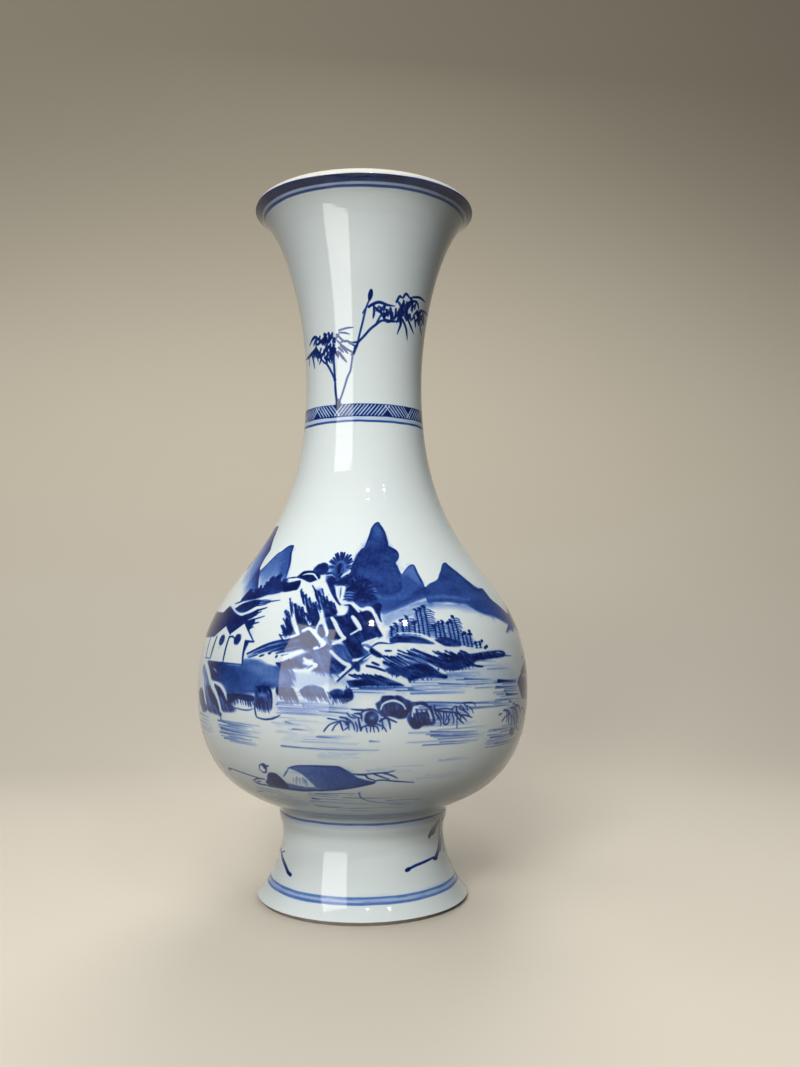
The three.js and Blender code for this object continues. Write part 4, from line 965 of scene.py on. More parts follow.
STRETCHES = (
    (-5, 24, 77.4, 79.3, 4, 0.42), (14, 50, 76.4, 82, 9, 0.3), (26, 62, 81.5, 86, 6, 0.3),
    (16, 52, 71, 73.6, 4, 0.34), (14, 50, 66.5, 69.5, 4, 0.28), (14, 46, 60.5, 65.5, 6, 0.3),
    (44, 72, 57.5, 64.4, 8, 0.32), (47, 66, 70.6, 79.5, 8, 0.34), (-28, -2, 70.4, 74.4, 6, 0.4, (10, 22)),
    (-27, -3, 74.4, 77.6, 3, 0.3), (-30, 0, 62, 70, 5, 0.14), (-56, -34, 59.8, 66.6, 9, 0.34),
    (-20, 14, 57, 64.5, 5, 0.14), (-46, -22, 38.5, 47, 6, 0.26), (-22, 26, 37.5, 45, 9, 0.3),
    (-84, -58, 60, 67, 4, 0.26), (-26, 40, 49, 56, 4, 0.12))
WATER_LINES = (
    ([(-56, 66.1), (-48, 65.7), (-40, 65.5)], 0.45, 0.6), ([(-52, 64.9), (-44, 64.6)], 0.35, 0.5),
    ([(-54.4, 63.9), (-47, 63.4), (-40, 63)], 0.5, 0.62), ([(-53, 60.6), (-46, 60.8)], 0.5, 0.5),
    ([(-27.5, 72.3), (-16, 71.9), (-5, 71.3)], 0.35, 0.6),
    ([(-28, 73.2), (-20, 72.9), (-16, 73.1)], 0.35, 0.6),
    ([(-13.5, 71.7), (-7, 71.2), (-3, 70.6)], 0.45, 0.65), ([(-25, 68), (-22, 67.4)], 0.45, 0.5),
    ([(-22.5, 65.8), (-18, 65.7)], 0.45, 0.5), ([(-14.5, 63.7), (-8, 63.4)], 0.5, 0.55),
    ([(2, 62.5), (5, 62.3)], 0.5, 0.5), ([(-27, 60.3), (-13, 59.9), (5, 59.7)], 0.5, 0.5),
    ([(15, 74), (22, 73.9), (30, 73.4), (36, 72.9), (46, 72.2), (52, 71.8)], 0.55, 0.7),
    ([(22, 73), (30, 72.6)], 0.5, 0.55), ([(21.6, 64.9), (31, 64.2), (40, 63.7)], 0.5, 0.6),
    ([(21.8, 63.6), (31, 63), (40, 62.7)], 0.6, 0.6), ([(34, 80.6), (40, 80.2), (46, 79.8)], 0.5, 0.62),
    ([(24.2, 79.6), (33, 79), (42, 78.5)], 0.45, 0.6), ([(14, 78.3), (16.5, 78)], 0.5, 0.65),
    ([(49.8, 79), (53, 78.8), (58, 78.4), (62.5, 78)], 1.1, 0.95),
    ([(48.3, 77.3), (54, 76.9), (60, 76.6)], 0.5, 0.65), ([(53, 75.5), (62, 75)], 0.45, 0.6),
    ([(54.6, 74.4), (57, 74.1), (64, 73.7)], 0.85, 0.85), ([(56.5, 72), (59, 71.3)], 0.6, 0.6),
    ([(36, 71.6), (44, 71.3), (52, 70.8)], 0.4, 0.5), ([(46.5, 60.9), (52, 60.6), (58, 60.2)], 0.5, 0.55),
    ([(48, 63.2), (56, 62.8)], 0.4, 0.5), ([(50, 58.6), (58, 58.5), (66, 58.4)], 0.5, 0.5),
    ([(56, 86.9), (61, 86.6)], 0.5, 0.6), ([(-20, 42.8), (-17, 42.6)], 0.8, 0.6),
    ([(-47, 43), (-43.5, 43.2)], 0.5, 0.6),
    ([(-1.5, 45.5), (-0.8, 43.6), (2, 42.4), (10, 41.2), (20, 40.7)], 0.45, 0.55),
    ([(-18, 44.7), (-9, 45.1), (-2, 45.2)], 0.4, 0.5),
    ([(-20, 39.5), (-10, 39.2), (0, 39.3), (10, 39.2), (20, 38.8)], 0.5, 0.5))


def water_lines():
    for pool in ([(-5, 79.3), (14, 79.6), (30, 83), (50, 85), (62, 82), (60, 78), (40, 78.4), (14, 77),
             (-5, 76.6)], [(-28, 77), (-4, 77), (-6, 71), (-28, 70.6)]):
        wash(pool, 0.07, soft=2.0, uneven=0.02)
    for stretch in STRETCHES:
        ripples(*stretch)
    for line, width, tone in WATER_LINES:
        brush(line, 0.8 * width, 0.85 * tone, ends=NAIL, fade=(1.1, 0.5))


print("water:", len(STRETCHES), "stretches of ripples and", len(WATER_LINES), "single strokes")

# %% Boat
def boat():
    wash([(-38, 46.4), (-30, 46.2), (-23, 46), (-18, 46.4), (-12, 46.8), (-3, 47.8), (3, 49.2), (4, 48.8),
         (-3, 47.2), (-12, 46), (-20, 45.6), (-30, 45.6)], 0.6, soft=0.25)
    wash([(-26, 53.2), (-23, 53.9), (-19, 54.3), (-14, 54.3), (-9.5, 54.3), (-7.9, 54.3), (-6, 53.4),
         (-4, 52.2), (-2.3, 51), (1, 50), (4, 49.2), (3, 48.6), (-2, 47.8), (-8, 47), (-13, 46.6),
         (-16.5, 46.7), (-18, 48.2), (-20, 50.4), (-22, 51.9), (-24.5, 52.8)], 0.62,
        ramp=((-22, 52), 0.5, (0, 49), 0.72), soft=0.22, uneven=0.1)
    brush([(-26, 53.1), (-23, 54), (-19, 54.3), (-14, 54.4), (-9.5, 54.4), (-7.7, 54.2), (-6, 53.3),
         (-4, 52)], 0.6, 0.8)
    brush([(-9, 54), (-5.4, 52.6), (-2, 50.6)], 1.4, 0.5, soft=0.6)
    brush([(-26, 52.8), (-27.3, 51.4), (-28.8, 50)], 0.45, 0.7)
    fringe([(-25.5, 50), (-22, 50.3), (-19.5, 49.4)], -100, 2.2, 8, 0.4, 0.32)
    wash([(-28.5, 48), (-26, 47.6), (-21, 47), (-17, 47), (-18, 45.8), (-24, 45.6), (-29, 46)], 0.5, soft=0.4)
    brush([(-38, 46), (-30, 45.8), (-23, 45.5), (-18, 45.9), (-12, 46.3), (-3, 47.5), (3.5, 48.7)], 0.6,
        0.78, ends=(0.6, 0.6))
    # the rower
    wash([(-35, 50.7), (-33.5, 51.1), (-31.5, 50.9), (-30, 49.7), (-28.4, 47.7), (-28.8, 46), (-34, 46),
         (-37, 46.4), (-38, 47.3), (-36.5, 48.5), (-35.8, 49.6)], 0.86, soft=0.2)
    brush([(-38.2, 52.2), (-37.4, 53.3), (-36, 53.5), (-35.2, 52.6), (-35.6, 51.2), (-37, 50.8),
         (-38.2, 51.6), (-38.2, 52.2)], 0.55, 0.84)
    wash([(-37, 53.7), (-35.2, 53.9), (-34.7, 52.6), (-35.6, 52)], 0.92, soft=0.25)
    for line, w in (([(-35, 53), (-33.6, 53.4)], 0.6),
            ([(-44.5, 47.2), (-43, 46.4), (-40, 46.2), (-37, 46.2)], 0.75),
            ([(-43.6, 47.6), (-41, 48.3), (-38, 48.4)], 0.6), ([(-42.6, 47), (-40.4, 47.4)], 0.5),
            ([(-58.5, 49.6), (-56, 50), (-50, 49.5), (-44, 48.9), (-38, 48.2)], 0.5),
            ([(-58.5, 49.3), (-56, 50)], 1.0),
            ([(-3.5, 52), (0, 51.9), (4, 52.2), (8, 52.4), (10.3, 52.8)], 0.5),
            ([(-2, 51.8), (0.6, 51.6), (1.6, 50.6), (4, 49.8)], 0.6),
            ([(3, 52.2), (5.5, 51.2), (9, 50)], 0.5), ([(6.5, 52.3), (9.5, 51.4), (11.7, 50.3)], 0.55),
            ([(3, 49.2), (6, 49.9), (12, 49.2), (18, 48.6)], 0.5)):
        brush(line, w, 0.76, ends=(0.9, 0.5))


print("boat: hull, awning, rower and oars")

# %% [markdown]
# ## Bamboo on the neck and sprays on the foot
#
# Thin stems climb out of one dark root and carry clusters of pointed leaves, each a single
# pressed and lifted stroke. Loose sprays are set round the foot above its double line.

# %% Bamboo
def bamboo():
    def leaf(points, w=0.9, tone=0.86):
        brush(points, 1.05 * w, tone, ends=(0.9, 0.25), girth=NECK, soft=0.22)
    wash([(-10.6, 173.2), (-10.5, 175), (-9.6, 175.4), (-8.7, 174.4), (-8.6, 173.2)], 0.9, girth=NECK,
        soft=0.2)
    for line, w in (([(-10, 174), (-10.7, 178), (-11, 182)], 0.8),
            ([(-11, 182), (-12.5, 185), (-14.5, 188), (-16, 189), (-18, 191)], 0.7),
            ([(-11, 182), (-11.3, 186), (-11.5, 190), (-11, 193)], 0.75),
            ([(-9, 174.5), (-8, 177), (-7, 180), (-6, 183), (-5, 185), (-4.5, 188), (-4.2, 190.5)], 0.6),
            ([(-3.8, 191), (-3, 193), (-2.2, 194.7)], 0.9),
            ([(-2.2, 195), (-1.5, 198), (-0.7, 201), (0, 204), (0.6, 206.5), (1.5, 209)], 0.6),
            ([(-2, 195), (0, 197), (2, 199.3), (4, 201), (6, 202.5), (8, 202.5)], 0.75),
            ([(4, 201), (5, 203), (6, 205)], 0.6),
            ([(-2.2, 195), (-4.5, 194.8), (-6.5, 195.5), (-9, 195)], 0.6),
            ([(-3, 193.5), (-5, 194.5), (-6, 195.5)], 0.5),
            ([(-4, 191.3), (-6, 192.5), (-8, 194), (-10, 196)], 0.6), ([(0.5, 206.5), (-0.5, 204.8)], 0.45)):
        brush(line, 1.15 * w, 0.8, ends=(0.9, 0.8), girth=NECK, soft=0.22)
    for x, z in ((-11, 182), (-4.2, 190.6), (-2.2, 194.8), (-3, 193)):
        brush([(x - 0.5, z), (x + 0.5, z + 0.2)], 0.8, 0.92, girth=NECK)
    brush([(1.6, 209), (2, 211), (2.2, 212.5)], 1.7, 0.93, ends=(0.3, 0.6), girth=NECK)
    # leaves
    for cx, cz, w, h, n in ((-13, 192.5, 4.0, 2.6, 28), (-14.5, 197.6, 5.5, 1.5, 26),
            (-19, 193.5, 2.5, 1.2, 10), (14, 207, 3.4, 3.8, 30), (22.5, 207, 4.2, 2.0, 22),
            (7, 206.5, 3.5, 1.6, 14), (16.5, 210.5, 3.0, 1.6, 14)):
        for _ in range(n):
            a, r = rng.uniform(0, math.tau), math.sqrt(rng.uniform(0, 1))
            px, pz = cx + w * r * math.cos(a), cz + h * r * math.sin(a)
            lean = rng.uniform(-1.9, 1.9)
            leaf([(px, pz), (px + lean * 0.6, pz - 1.0), (px + lean, pz - rng.uniform(1.6, 2.6))],
                rng.uniform(0.65, 1.05), rng.uniform(0.72, 0.93))
    for line, w in (([(-18.5, 197.5), (-20, 198.5), (-22, 198), (-24.5, 196.3)], 1.1),
            ([(-20, 194.5), (-22, 193.5), (-26, 192.5), (-30, 192.5)], 1.3),
            ([(-25.5, 192), (-26, 189)], 0.6), ([(-23, 192.5), (-22, 190), (-21.5, 187.5)], 0.8),
            ([(-20, 195), (-19.5, 192), (-19, 189.5)], 0.9),
            ([(-9, 199.3), (-6, 199.9), (-3.7, 200)], 0.6), ([(-9, 198.5), (-7, 198.3), (-5, 197.7)], 0.6),
            ([(-10, 198), (-8, 196), (-6.5, 195)], 0.7), ([(-9, 191.5), (-8, 190), (-6.3, 188)], 0.9),
            ([(-8.5, 194), (-7, 192.5), (-5.8, 191)], 0.8), ([(-12.5, 193), (-12.3, 188)], 1.0),
            ([(-16, 197), (-18, 196), (-20, 195.5)], 1.0),
            ([(-17, 192), (-17.5, 190), (-18.5, 188.5)], 0.8),
            ([(-14, 192), (-14.6, 190), (-14.3, 188)], 0.9),
            ([(1.5, 207), (3, 208), (5, 208.7), (8, 208), (10.5, 208)], 1.0),
            ([(11, 209.5), (12, 211.5), (13.3, 211)], 0.9),
            ([(13.5, 211.5), (14.5, 212.8), (17, 211)], 0.9),
            ([(17.5, 212.3), (21, 213), (25.3, 212.5)], 0.8), ([(17.5, 211), (20, 211), (22, 208.5)], 0.9),
            ([(23, 209), (28, 209.2), (30, 208.5)], 0.9), ([(3.2, 207.5), (3.3, 205), (3, 203)], 0.8),
            ([(5.5, 207), (6, 204)], 0.8), ([(12, 206), (13.5, 203), (12.2, 198.5)], 1.0),
            ([(14, 204), (16, 201), (17, 197.3)], 0.9), ([(16, 205), (18, 202.5), (20.3, 200)], 0.9),
            ([(19.5, 206), (20.5, 204), (21, 202.3)], 0.9), ([(23, 206), (24.5, 203), (26.3, 201)], 0.9),
            ([(9, 206), (9.5, 203), (7.8, 202)], 0.9), ([(7, 203), (10, 202.7), (12, 203)], 0.8),
            ([(11, 207), (11, 204.5), (10, 202.8)], 0.9), ([(25, 207), (26.5, 205.5), (28.5, 205)], 0.7)):
        leaf(line, w)


print("bamboo: stems, and leaves in seven clusters")

# %% Foot sprays
def foot_sprays():
    for line, w, tone, ends in (([(-46, 16.5), (-43, 17), (-40, 16.7), (-36, 15.3), (-32, 13.8),
              (-29.5, 12.5), (-27.3, 11.9)], 1.3, 0.88, (0.4, 0.9)),
            ([(-39, 16.5), (-37, 17.5), (-35.5, 17.7)], 0.55, 0.8, (0.7, 0.5)),
            ([(-40.5, 17), (-40, 18.6), (-39, 20)], 0.6, 0.8, (0.9, 0.4)),
            ([(15.7, 15.2), (19, 16), (24, 16.5), (29, 16.9)], 0.85, 0.84, (0.9, 0.6)),
            ([(15, 15), (16.8, 15.5)], 1.3, 0.9, (0.8, 0.5)),
            ([(28.6, 16.5), (31, 16.3)], 1.3, 0.92, (0.8, 0.8)),
            ([(30, 16.4), (32, 17.6), (34, 19), (35.4, 21.2), (36, 24), (36.4, 27.4), (37, 30.2)], 1.9,
             0.82, (0.8, 0.6)), ([(34.6, 18.4), (37, 20), (39, 23), (40, 27)], 1.9, 0.86, (0.9, 0.6)),
            ([(38, 17), (40.5, 20), (42, 25)], 1.6, 0.84, (0.6, 0.8)),
            ([(27.6, 24.2), (29, 25.6), (31, 27.4), (32.6, 28.8)], 2.2, 0.9, (0.8, 0.5)),
            ([(28.6, 24.6), (30.6, 25.2), (32, 26.6)], 1.6, 0.88, (0.6, 0.6)),
            ([(31, 27), (33.4, 27.6), (36, 28.8)], 0.8, 0.8, (0.8, 0.6))):
        brush(line, w, tone, ends=ends, girth=FOOT)


print("foot: loose sprays on both sides")
# %% [markdown]
# ## Bands turned on the wheel
#
# The lip, the seat of the neck and the foot are ringed with bands drawn while the vase turns,
# so they run level and true. The one at the neck is filled with slanting white lines that change
# their lean every so often, scratched through the cobalt.

# %% Bands
def band(low, high, tone, wander=0.12, sway=0.0):
    """A level band right round, its edges wandering as a brush's do; sway lifts its top at the sides."""
    (x0, y0), (x1, y1) = place([(0, low), (0, high)], BODY)[0]
    s = 1 / (radius_at(OUTER_LINE, low) * DOT)
    edge = 0.13 * s
    ys = np.arange(int(y0 - s), int(y1 + (1 + sway) * s) + 2)
    turn = np.arange(TURN_DOTS) * DOT
    shift = wander * s * sum(np.sin(turn * n + rng.uniform(0, 6.28)) / m
                             for n, m in ((2, 1.2), (5, 2), (11, 3), (23, 5)))
    top = y1 + 0.6 * shift + sway * s * np.sin(turn) ** 2
    patch = (np.clip((ys[:, None] - y0 - shift) / edge + 0.5, 0, 1)
             * np.clip((top - ys[:, None]) / edge + 0.5, 0, 1))
    uneven = 1 + 0.1 * cloudy(len(ys), TURN_DOTS, len(ys), 60)
    lay(0, int(ys[0]), (patch * tone * uneven).astype(np.float32))


# each band is (from, to, tone)
LIP_BAND = (245.75, 247.5, 0.82)
LIP_LINES = ((245.05, 245.75, 0.12), (244.35, 245.05, 0.7))
NECK_BANDS = ((166.8, 167.6, 0.66), (167.6, 168.9, 0.1), (168.9, 173.4, 0.88))
FOOT_LINES = ((30.7, 31.4, 0.52), (29.8, 30.7, 0.08), (7.5, 8.25, 0.42), (6.75, 7.5, 0.2), (5.95, 6.75, 0.44))
LEAN_RUN, LEAN_STEP, LEAN_OUT = 7, 1.25, 1.6     # white lines of one lean, mm between them, mm of lean


def bands():
    band(*LIP_BAND, sway=0.7)
    for low, high, tone in LIP_LINES + NECK_BANDS + FOOT_LINES:
        band(low, high, tone)
    girth = math.tau * NECK
    count = int(girth / LEAN_STEP / LEAN_RUN) * LEAN_RUN
    for k in range(count):
        x, lean = k * girth / count + rng.uniform(-0.12, 0.12), (-1 if (k // LEAN_RUN) % 2 else 1)
        line = [(x - LEAN_OUT * lean, 169.3), (x + LEAN_OUT * lean, 173.1)]
        brush(line, 0.5 * rng.uniform(0.8, 1.15), 0.85, (0.7, 0.7), girth=NECK, lift=True, soft=0.1)
    print("bands:", count, "white lines slant across the neck's band")


print("bands: the widest is", round(NECK_BANDS[-1][1] - NECK_BANDS[-1][0], 1), "mm")

# %% [markdown]
# ## The side that the photo doesn't show
#
# The picture is taken to run right round, as it leaves the photo's view on both sides. A painter
# fills the far side with the same few motifs in another order, so the scene is laid there again
# turned about, with one wide mountain, its woods, two pavilions and rocks to close the ring.

# %% One wide mountain behind
def far_mountain():
    ridge = [(222, 117), (226, 121), (230, 126), (234, 130.4), (241, 135.5), (246, 140), (250, 143.5),
        (254, 145), (257, 144), (259, 140.5), (262, 138.8), (265, 136.8), (268, 133.5), (273, 131.4),
        (279, 129), (285, 125), (291, 120), (296, 116.6)]
    hill(ridge, [(222, 116), (240, 112), (254, 110), (268, 112), (280, 114), (296, 115.6)], 0.76, 0.12,
        curve=1.4, foot_edge=1.8, outline=0.9, line=0.6)
    for fold in ([(254, 144), (251, 136), (249, 128), (244, 121)],
            [(257, 143), (260, 134), (266, 126), (270, 120)], [(240, 134), (238, 128), (234, 123)],
            [(272, 131), (275, 126), (280, 122)]):
        brush(fold, 2.6, 0.42, ends=(0.7, 0.3), soft=1.2)
    wash([(230, 104), (236, 107), (243, 109), (249, 108), (256, 110.5), (263, 109), (270, 107),
         (277, 108.5), (284, 106.5), (290, 104), (284, 101), (262, 100), (238, 100)], 0.84, soft=0.4,
        uneven=0.15, grain=(70, 0.4))
    for x in np.arange(233, 288, 2.4):
        dabs((x, 106.4 + 2.2 * math.sin(0.21 * x), 1.5, 1.7), 7, (1.2, 0.7), 0.93)


print("far side: one mountain with four folds and its woods")

# %% Pavilions, rocks and water in front of it
def far_shore():
    wash([(229, 101), (240, 101.6), (252, 100.6), (264, 101.4), (276, 100.8), (288, 101), (288, 93),
         (276, 92), (264, 90.6), (252, 91), (240, 92), (229, 93)], 0.92, soft=0.3, uneven=0.08)
    for x, wide in ((243, 5.0), (262, 6.5)):
        wash([(x - wide, 94.6), (x, 98.6), (x + wide, 94.6), (x + wide - 0.8, 94.4), (x + wide - 1, 86.6),
             (x - wide + 1, 86.6), (x - wide + 0.8, 94.4)], 1.0, soft=0.2, uneven=0.0, bent=False,
            lift=True)
        strokes([([(x - wide - 0.6, 94.2), (x - 2, 96.6), (x, 98.8)], 0.6),
             ([(x, 98.8), (x + 2, 96.6), (x + wide + 0.6, 94.2)], 0.6),
             ([(x - wide, 94.4), (x + wide, 94.4)], 0.5),
             ([(x - wide + 1, 94.2), (x - wide + 1, 86.6)], 0.8),
             ([(x + wide - 1, 94.2), (x + wide - 1, 86.6)], 0.8),
             ([(x - wide, 86.6), (x + wide, 86.6)], 0.45)], 0.9, (0.9, 0.7))
        wash(oval(x, 91.2, 1.5, 1.5), 0.86, soft=0.25)
    wash([(224, 86.6), (240, 86.8), (256, 86.6), (272, 86.8), (284, 86.4), (288, 84), (286, 79),
         (280, 77.6), (268, 78.6), (256, 76.6), (244, 78.4), (232, 77.6), (224, 79.6)], 0.68, soft=0.6,
        uneven=0.14, grain=(-3, 0.08))
    for x0, x1 in ((227, 237), (237.8, 247.4), (248.4, 258), (259, 269.4), (270.6, 283)):
        z = 76.8 + 1.2 * math.sin(x0)
        wash([(x0, z), (x0 + 1.5, z + 1.6), (x1 - 1.5, z + 1.8), (x1, z + 0.2), (x1 - 0.6, z - 1.6),
             (x0 + 0.8, z - 1.4)], 0.86, soft=0.35, grain=(-62, 0.25))
        fringe([(x0 + 0.4, z - 0.2), ((x0 + x1) / 2, z), (x1 - 0.4, z - 0.4)], -64, 3.2,
            int(2.4 * (x1 - x0)), 0.36, 0.93, ends=(1.0, 0.4), stagger=0.8)
    for fold in ([(236, 79.6), (238, 77.4), (239, 73.6)], [(257, 79), (259, 76.6), (260, 73.4)],
            [(270.6, 79.4), (272.4, 77.2), (273, 74)]):
        brush(fold, 0.8, 0.95, ends=(0.7, 0.5), lift=True)
    for x0, x1, z0, z1, count, tone in ((228, 256, 66, 72.5, 7, 0.3), (252, 286, 68, 73.5, 6, 0.36),
            (236, 276, 58, 65, 7, 0.24), (258, 290, 60, 66, 5, 0.3), (240, 290, 46, 55, 5, 0.16)):
        ripples(x0, x1, z0, z1, count, tone)


print("far shore: two pavilions over five rocks")

# %% Paint it all
def lay_out(around, up=0.0, mirror=1.0):
    """Moves the easel: what is painted next is laid around mm round and up mm up, and maybe mirrored."""
    easel[:] = [around, up, mirror]


def landscape(rock=True):
    """The whole scene that runs round the body, as far as the photo shows it."""
    left_mountains()
    peaks()
    bank()
    village()
    path_bank()
    cliff()
    spit()
    cliff_trees()
    rocks()
    reeds()
    if rock:
        right_rock()
    water_lines()
    boat()


FAR_SCENE = 146.0      # mm round from the front, where the same scene is laid again, turned about
landscape()
bamboo()
foot_sprays()
bands()
lay_out(FAR_SCENE, mirror=-1)
landscape(rock=False)
lay_out(0)
far_mountain()
far_shore()
lay_out(math.pi * NECK, mirror=-1)
bamboo()
lay_out(math.pi * FOOT, mirror=-1)
foot_sprays()
lay_out(0)
for axis in (0, 1):                  # the pigment creeps a little into the wet glaze
    cobalt = (np.roll(cobalt, 1, axis) + 2 * cobalt + np.roll(cobalt, -1, axis)) / 4
print("painted share of the plane", round(float((cobalt > 0.1).mean()), 3))

# %% [markdown]
# ## Glaze and body
#
# The glaze is clear and a little blue-green over a white body, glassy, and not quite even. It
# runs thin on the lip's edge, where the warm body shows through, and it follows the faint rings
# that the wheel left in the wall. One Principled shader holds it. The cobalt lies under the
# glaze, so it changes only the colour beneath and leaves the gloss unbroken: the attribute runs
# through a colour ramp from thin blue wash to nearly black blue, where it is heaped.

# %% Tones and sizes of the finishes
GLAZE_THIN, GLAZE_WHITE = (0.63, 0.70, 0.705, 1.0), (0.69, 0.745, 0.74, 1.0)
GLAZE_RIM, RIM_FADE = (0.70, 0.665, 0.61, 1.0), 1.0      # mm above and below the widest part of the lip
GLAZE_ROUGHNESS, GLAZE_IOR = 0.06, 1.5
COBALT_TONES = ((0.0, (0.39, 0.50, 0.67, 1.0)), (0.14, (0.39, 0.50, 0.67, 1.0)),
                (0.38, (0.105, 0.205, 0.48, 1.0)), (0.62, (0.028, 0.076, 0.29, 1.0)),
                (0.84, (0.008, 0.022, 0.13, 1.0)), (1.0, (0.004, 0.008, 0.055, 1.0)))
COBALT_THIN = COBALT_TONES[1][0]         # from this strength on no glaze shows between the pigment
SPECKLE_LOW, SPECKLE_HIGH = 0.86, 1.14
CLOUDS, SPECKLES, SAND = 42.0, 900.0, 350.0      # features a metre
RING_DEPTH, RING_STRENGTH = 0.2 * MM, 0.5
RING_STRETCH = (6.0, 6.0, 260.0)         # noise drawn out level, so that it changes only with height
BARE_DARK, BARE_PALE = (0.42, 0.33, 0.25, 1.0), (0.68, 0.62, 0.54, 1.0)
BARE_ROUGHNESS = 0.8
print("cobalt:", len(COBALT_TONES), "tones from thin wash to heaped")

# %% Nodes in short
def new_material(name):
    """A material with an empty tree but for a Principled shader; returns it, its nodes and links."""
    material = bpy.data.materials.new(name)
    material.use_nodes = True
    nodes, links = material.node_tree.nodes, material.node_tree.links
    nodes.clear()
    output = nodes.new("ShaderNodeOutputMaterial")
    shader = nodes.new("ShaderNodeBsdfPrincipled")
    links.new(shader.outputs["BSDF"], output.inputs["Surface"])
    return material, nodes, links, shader


def noise(nodes, links, scale, detail=3.0):
    """Noise on Object coordinates; scale is in features a metre."""
    coords, texture = nodes.new("ShaderNodeTexCoord"), nodes.new("ShaderNodeTexNoise")
    texture.inputs["Scale"].default_value = scale
    texture.inputs["Detail"].default_value = detail
    links.new(coords.outputs["Object"], texture.inputs["Vector"])
    return texture.outputs["Fac"]


def blend(nodes, links, share, first, second):
    """A colour mix; share, first and second are colours, numbers or sockets."""
    mix = nodes.new("ShaderNodeMix")
    mix.data_type = "RGBA"
    for slot, value in ((0, share), (6, first), (7, second)):
        if isinstance(value, bpy.types.NodeSocket):
            links.new(value, mix.inputs[slot])
        else:
            mix.inputs[slot].default_value = value
    return mix.outputs[2]


print("nodes: noise on Object coordinates, and colour mixes")

# %% Glaze material
def painted_over(nodes, links, ground):
    """The ground's colour under the painting, whose strength the mesh carries as an attribute."""
    strength, uneven = nodes.new("ShaderNodeAttribute"), nodes.new("ShaderNodeMath")
    strength.attribute_name = "cobalt"
    heaping = nodes.new("ShaderNodeMapRange")
    heaping.inputs["To Min"].default_value = SPECKLE_LOW
    heaping.inputs["To Max"].default_value = SPECKLE_HIGH
    links.new(noise(nodes, links, SPECKLES, 2.0), heaping.inputs["Value"])
    uneven.operation = "MULTIPLY"
    links.new(strength.outputs["Fac"], uneven.inputs[0])
    links.new(heaping.outputs["Result"], uneven.inputs[1])
    ramp, cover = nodes.new("ShaderNodeValToRGB"), nodes.new("ShaderNodeMapRange")
    links.new(uneven.outputs["Value"], ramp.inputs["Fac"])
    stops = ramp.color_ramp.elements
    stops[0].color, stops[-1].color = COBALT_TONES[0][1], COBALT_TONES[-1][1]
    for at, tone in COBALT_TONES[1:-1]:
        stops.new(at).color = tone
    cover.inputs["From Max"].default_value = COBALT_THIN
    links.new(uneven.outputs["Value"], cover.inputs["Value"])
    return blend(nodes, links, cover.outputs["Result"], ground, ramp.outputs["Color"])


def wheel_rings(nodes, links, place_in_wall):
    """The bump of the faint rings that the wheel left."""
    level, rings, bump = (nodes.new("ShaderNode" + kind) for kind in ("VectorMath", "TexNoise", "Bump"))
    level.operation = "MULTIPLY"
    level.inputs[1].default_value = RING_STRETCH
    links.new(place_in_wall, level.inputs[0])
    rings.inputs["Scale"].default_value = 1.0
    rings.inputs["Detail"].default_value = 2.0
    links.new(level.outputs["Vector"], rings.inputs["Vector"])
    bump.inputs["Strength"].default_value = RING_STRENGTH
    bump.inputs["Distance"].default_value = RING_DEPTH
    links.new(rings.outputs["Fac"], bump.inputs["Height"])
    return bump.outputs["Normal"]


def glaze_material(name, painted):
    """Glassy glaze over the white body, with the cobalt beneath it where it is painted."""
    material, nodes, links, shader = new_material(name)
    shader.inputs["Roughness"].default_value = GLAZE_ROUGHNESS
    shader.inputs["IOR"].default_value = GLAZE_IOR
    colour = blend(nodes, links, noise(nodes, links, CLOUDS, 4.0), GLAZE_THIN, GLAZE_WHITE)
    coords, axes, rim = (nodes.new("ShaderNode" + kind) for kind in ("TexCoord", "SeparateXYZ", "MapRange"))
    links.new(coords.outputs["Object"], axes.inputs["Vector"])
    links.new(axes.outputs["Z"], rim.inputs["Value"])
    rim.inputs["From Min"].default_value = (LIP_WIDEST - RIM_FADE) * MM
    rim.inputs["From Max"].default_value = (LIP_WIDEST + RIM_FADE) * MM
    colour = blend(nodes, links, rim.outputs["Result"], colour, GLAZE_RIM)
    if painted:
        colour = painted_over(nodes, links, colour)
    links.new(colour, shader.inputs["Base Color"])
    links.new(wheel_rings(nodes, links, coords.outputs["Object"]), shader.inputs["Normal"])
    return material


glaze_outside = glaze_material("glaze_outside", True)
glaze_inside = glaze_material("glaze_inside", False)
print("glaze:", len(glaze_outside.node_tree.nodes), "nodes outside,", len(glaze_inside.node_tree.nodes),
    "inside")

# %% Bare body of the foot's ring
bare_body, bare_nodes, bare_links, bare_shader = new_material("bare_body")
bare_shader.inputs["Roughness"].default_value = BARE_ROUGHNESS
bare_colour = blend(bare_nodes, bare_links, noise(bare_nodes, bare_links, SAND, 6.0), BARE_DARK, BARE_PALE)
bare_links.new(bare_colour, bare_shader.inputs["Base Color"])
print("materials", [m.name for m in bpy.data.materials])

# %% [markdown]
# ## Sections of the wall
#
# Each section is an outline of (radius, height) spun once round the axis. A smooth shape would
# need few faces, but the painting is as fine as the mesh that carries it. So the painted side is
# split into triangles, and an edge is split again where the painting along it strays from a
# straight blend of its two ends: the blank glaze stays coarse, and the edge of a brush stroke
# gets sides of about a third of a millimetre. Every new point is moved out to the true curve.

# %% Rows of an outline
OUTSIDE, INSIDE, BARE = 0, 1, 2      # the piece's material slots
TURN = 160                           # steps round the axis, before the painting refines them
DENSE = 4000                         # samples along a line while its rows are spaced


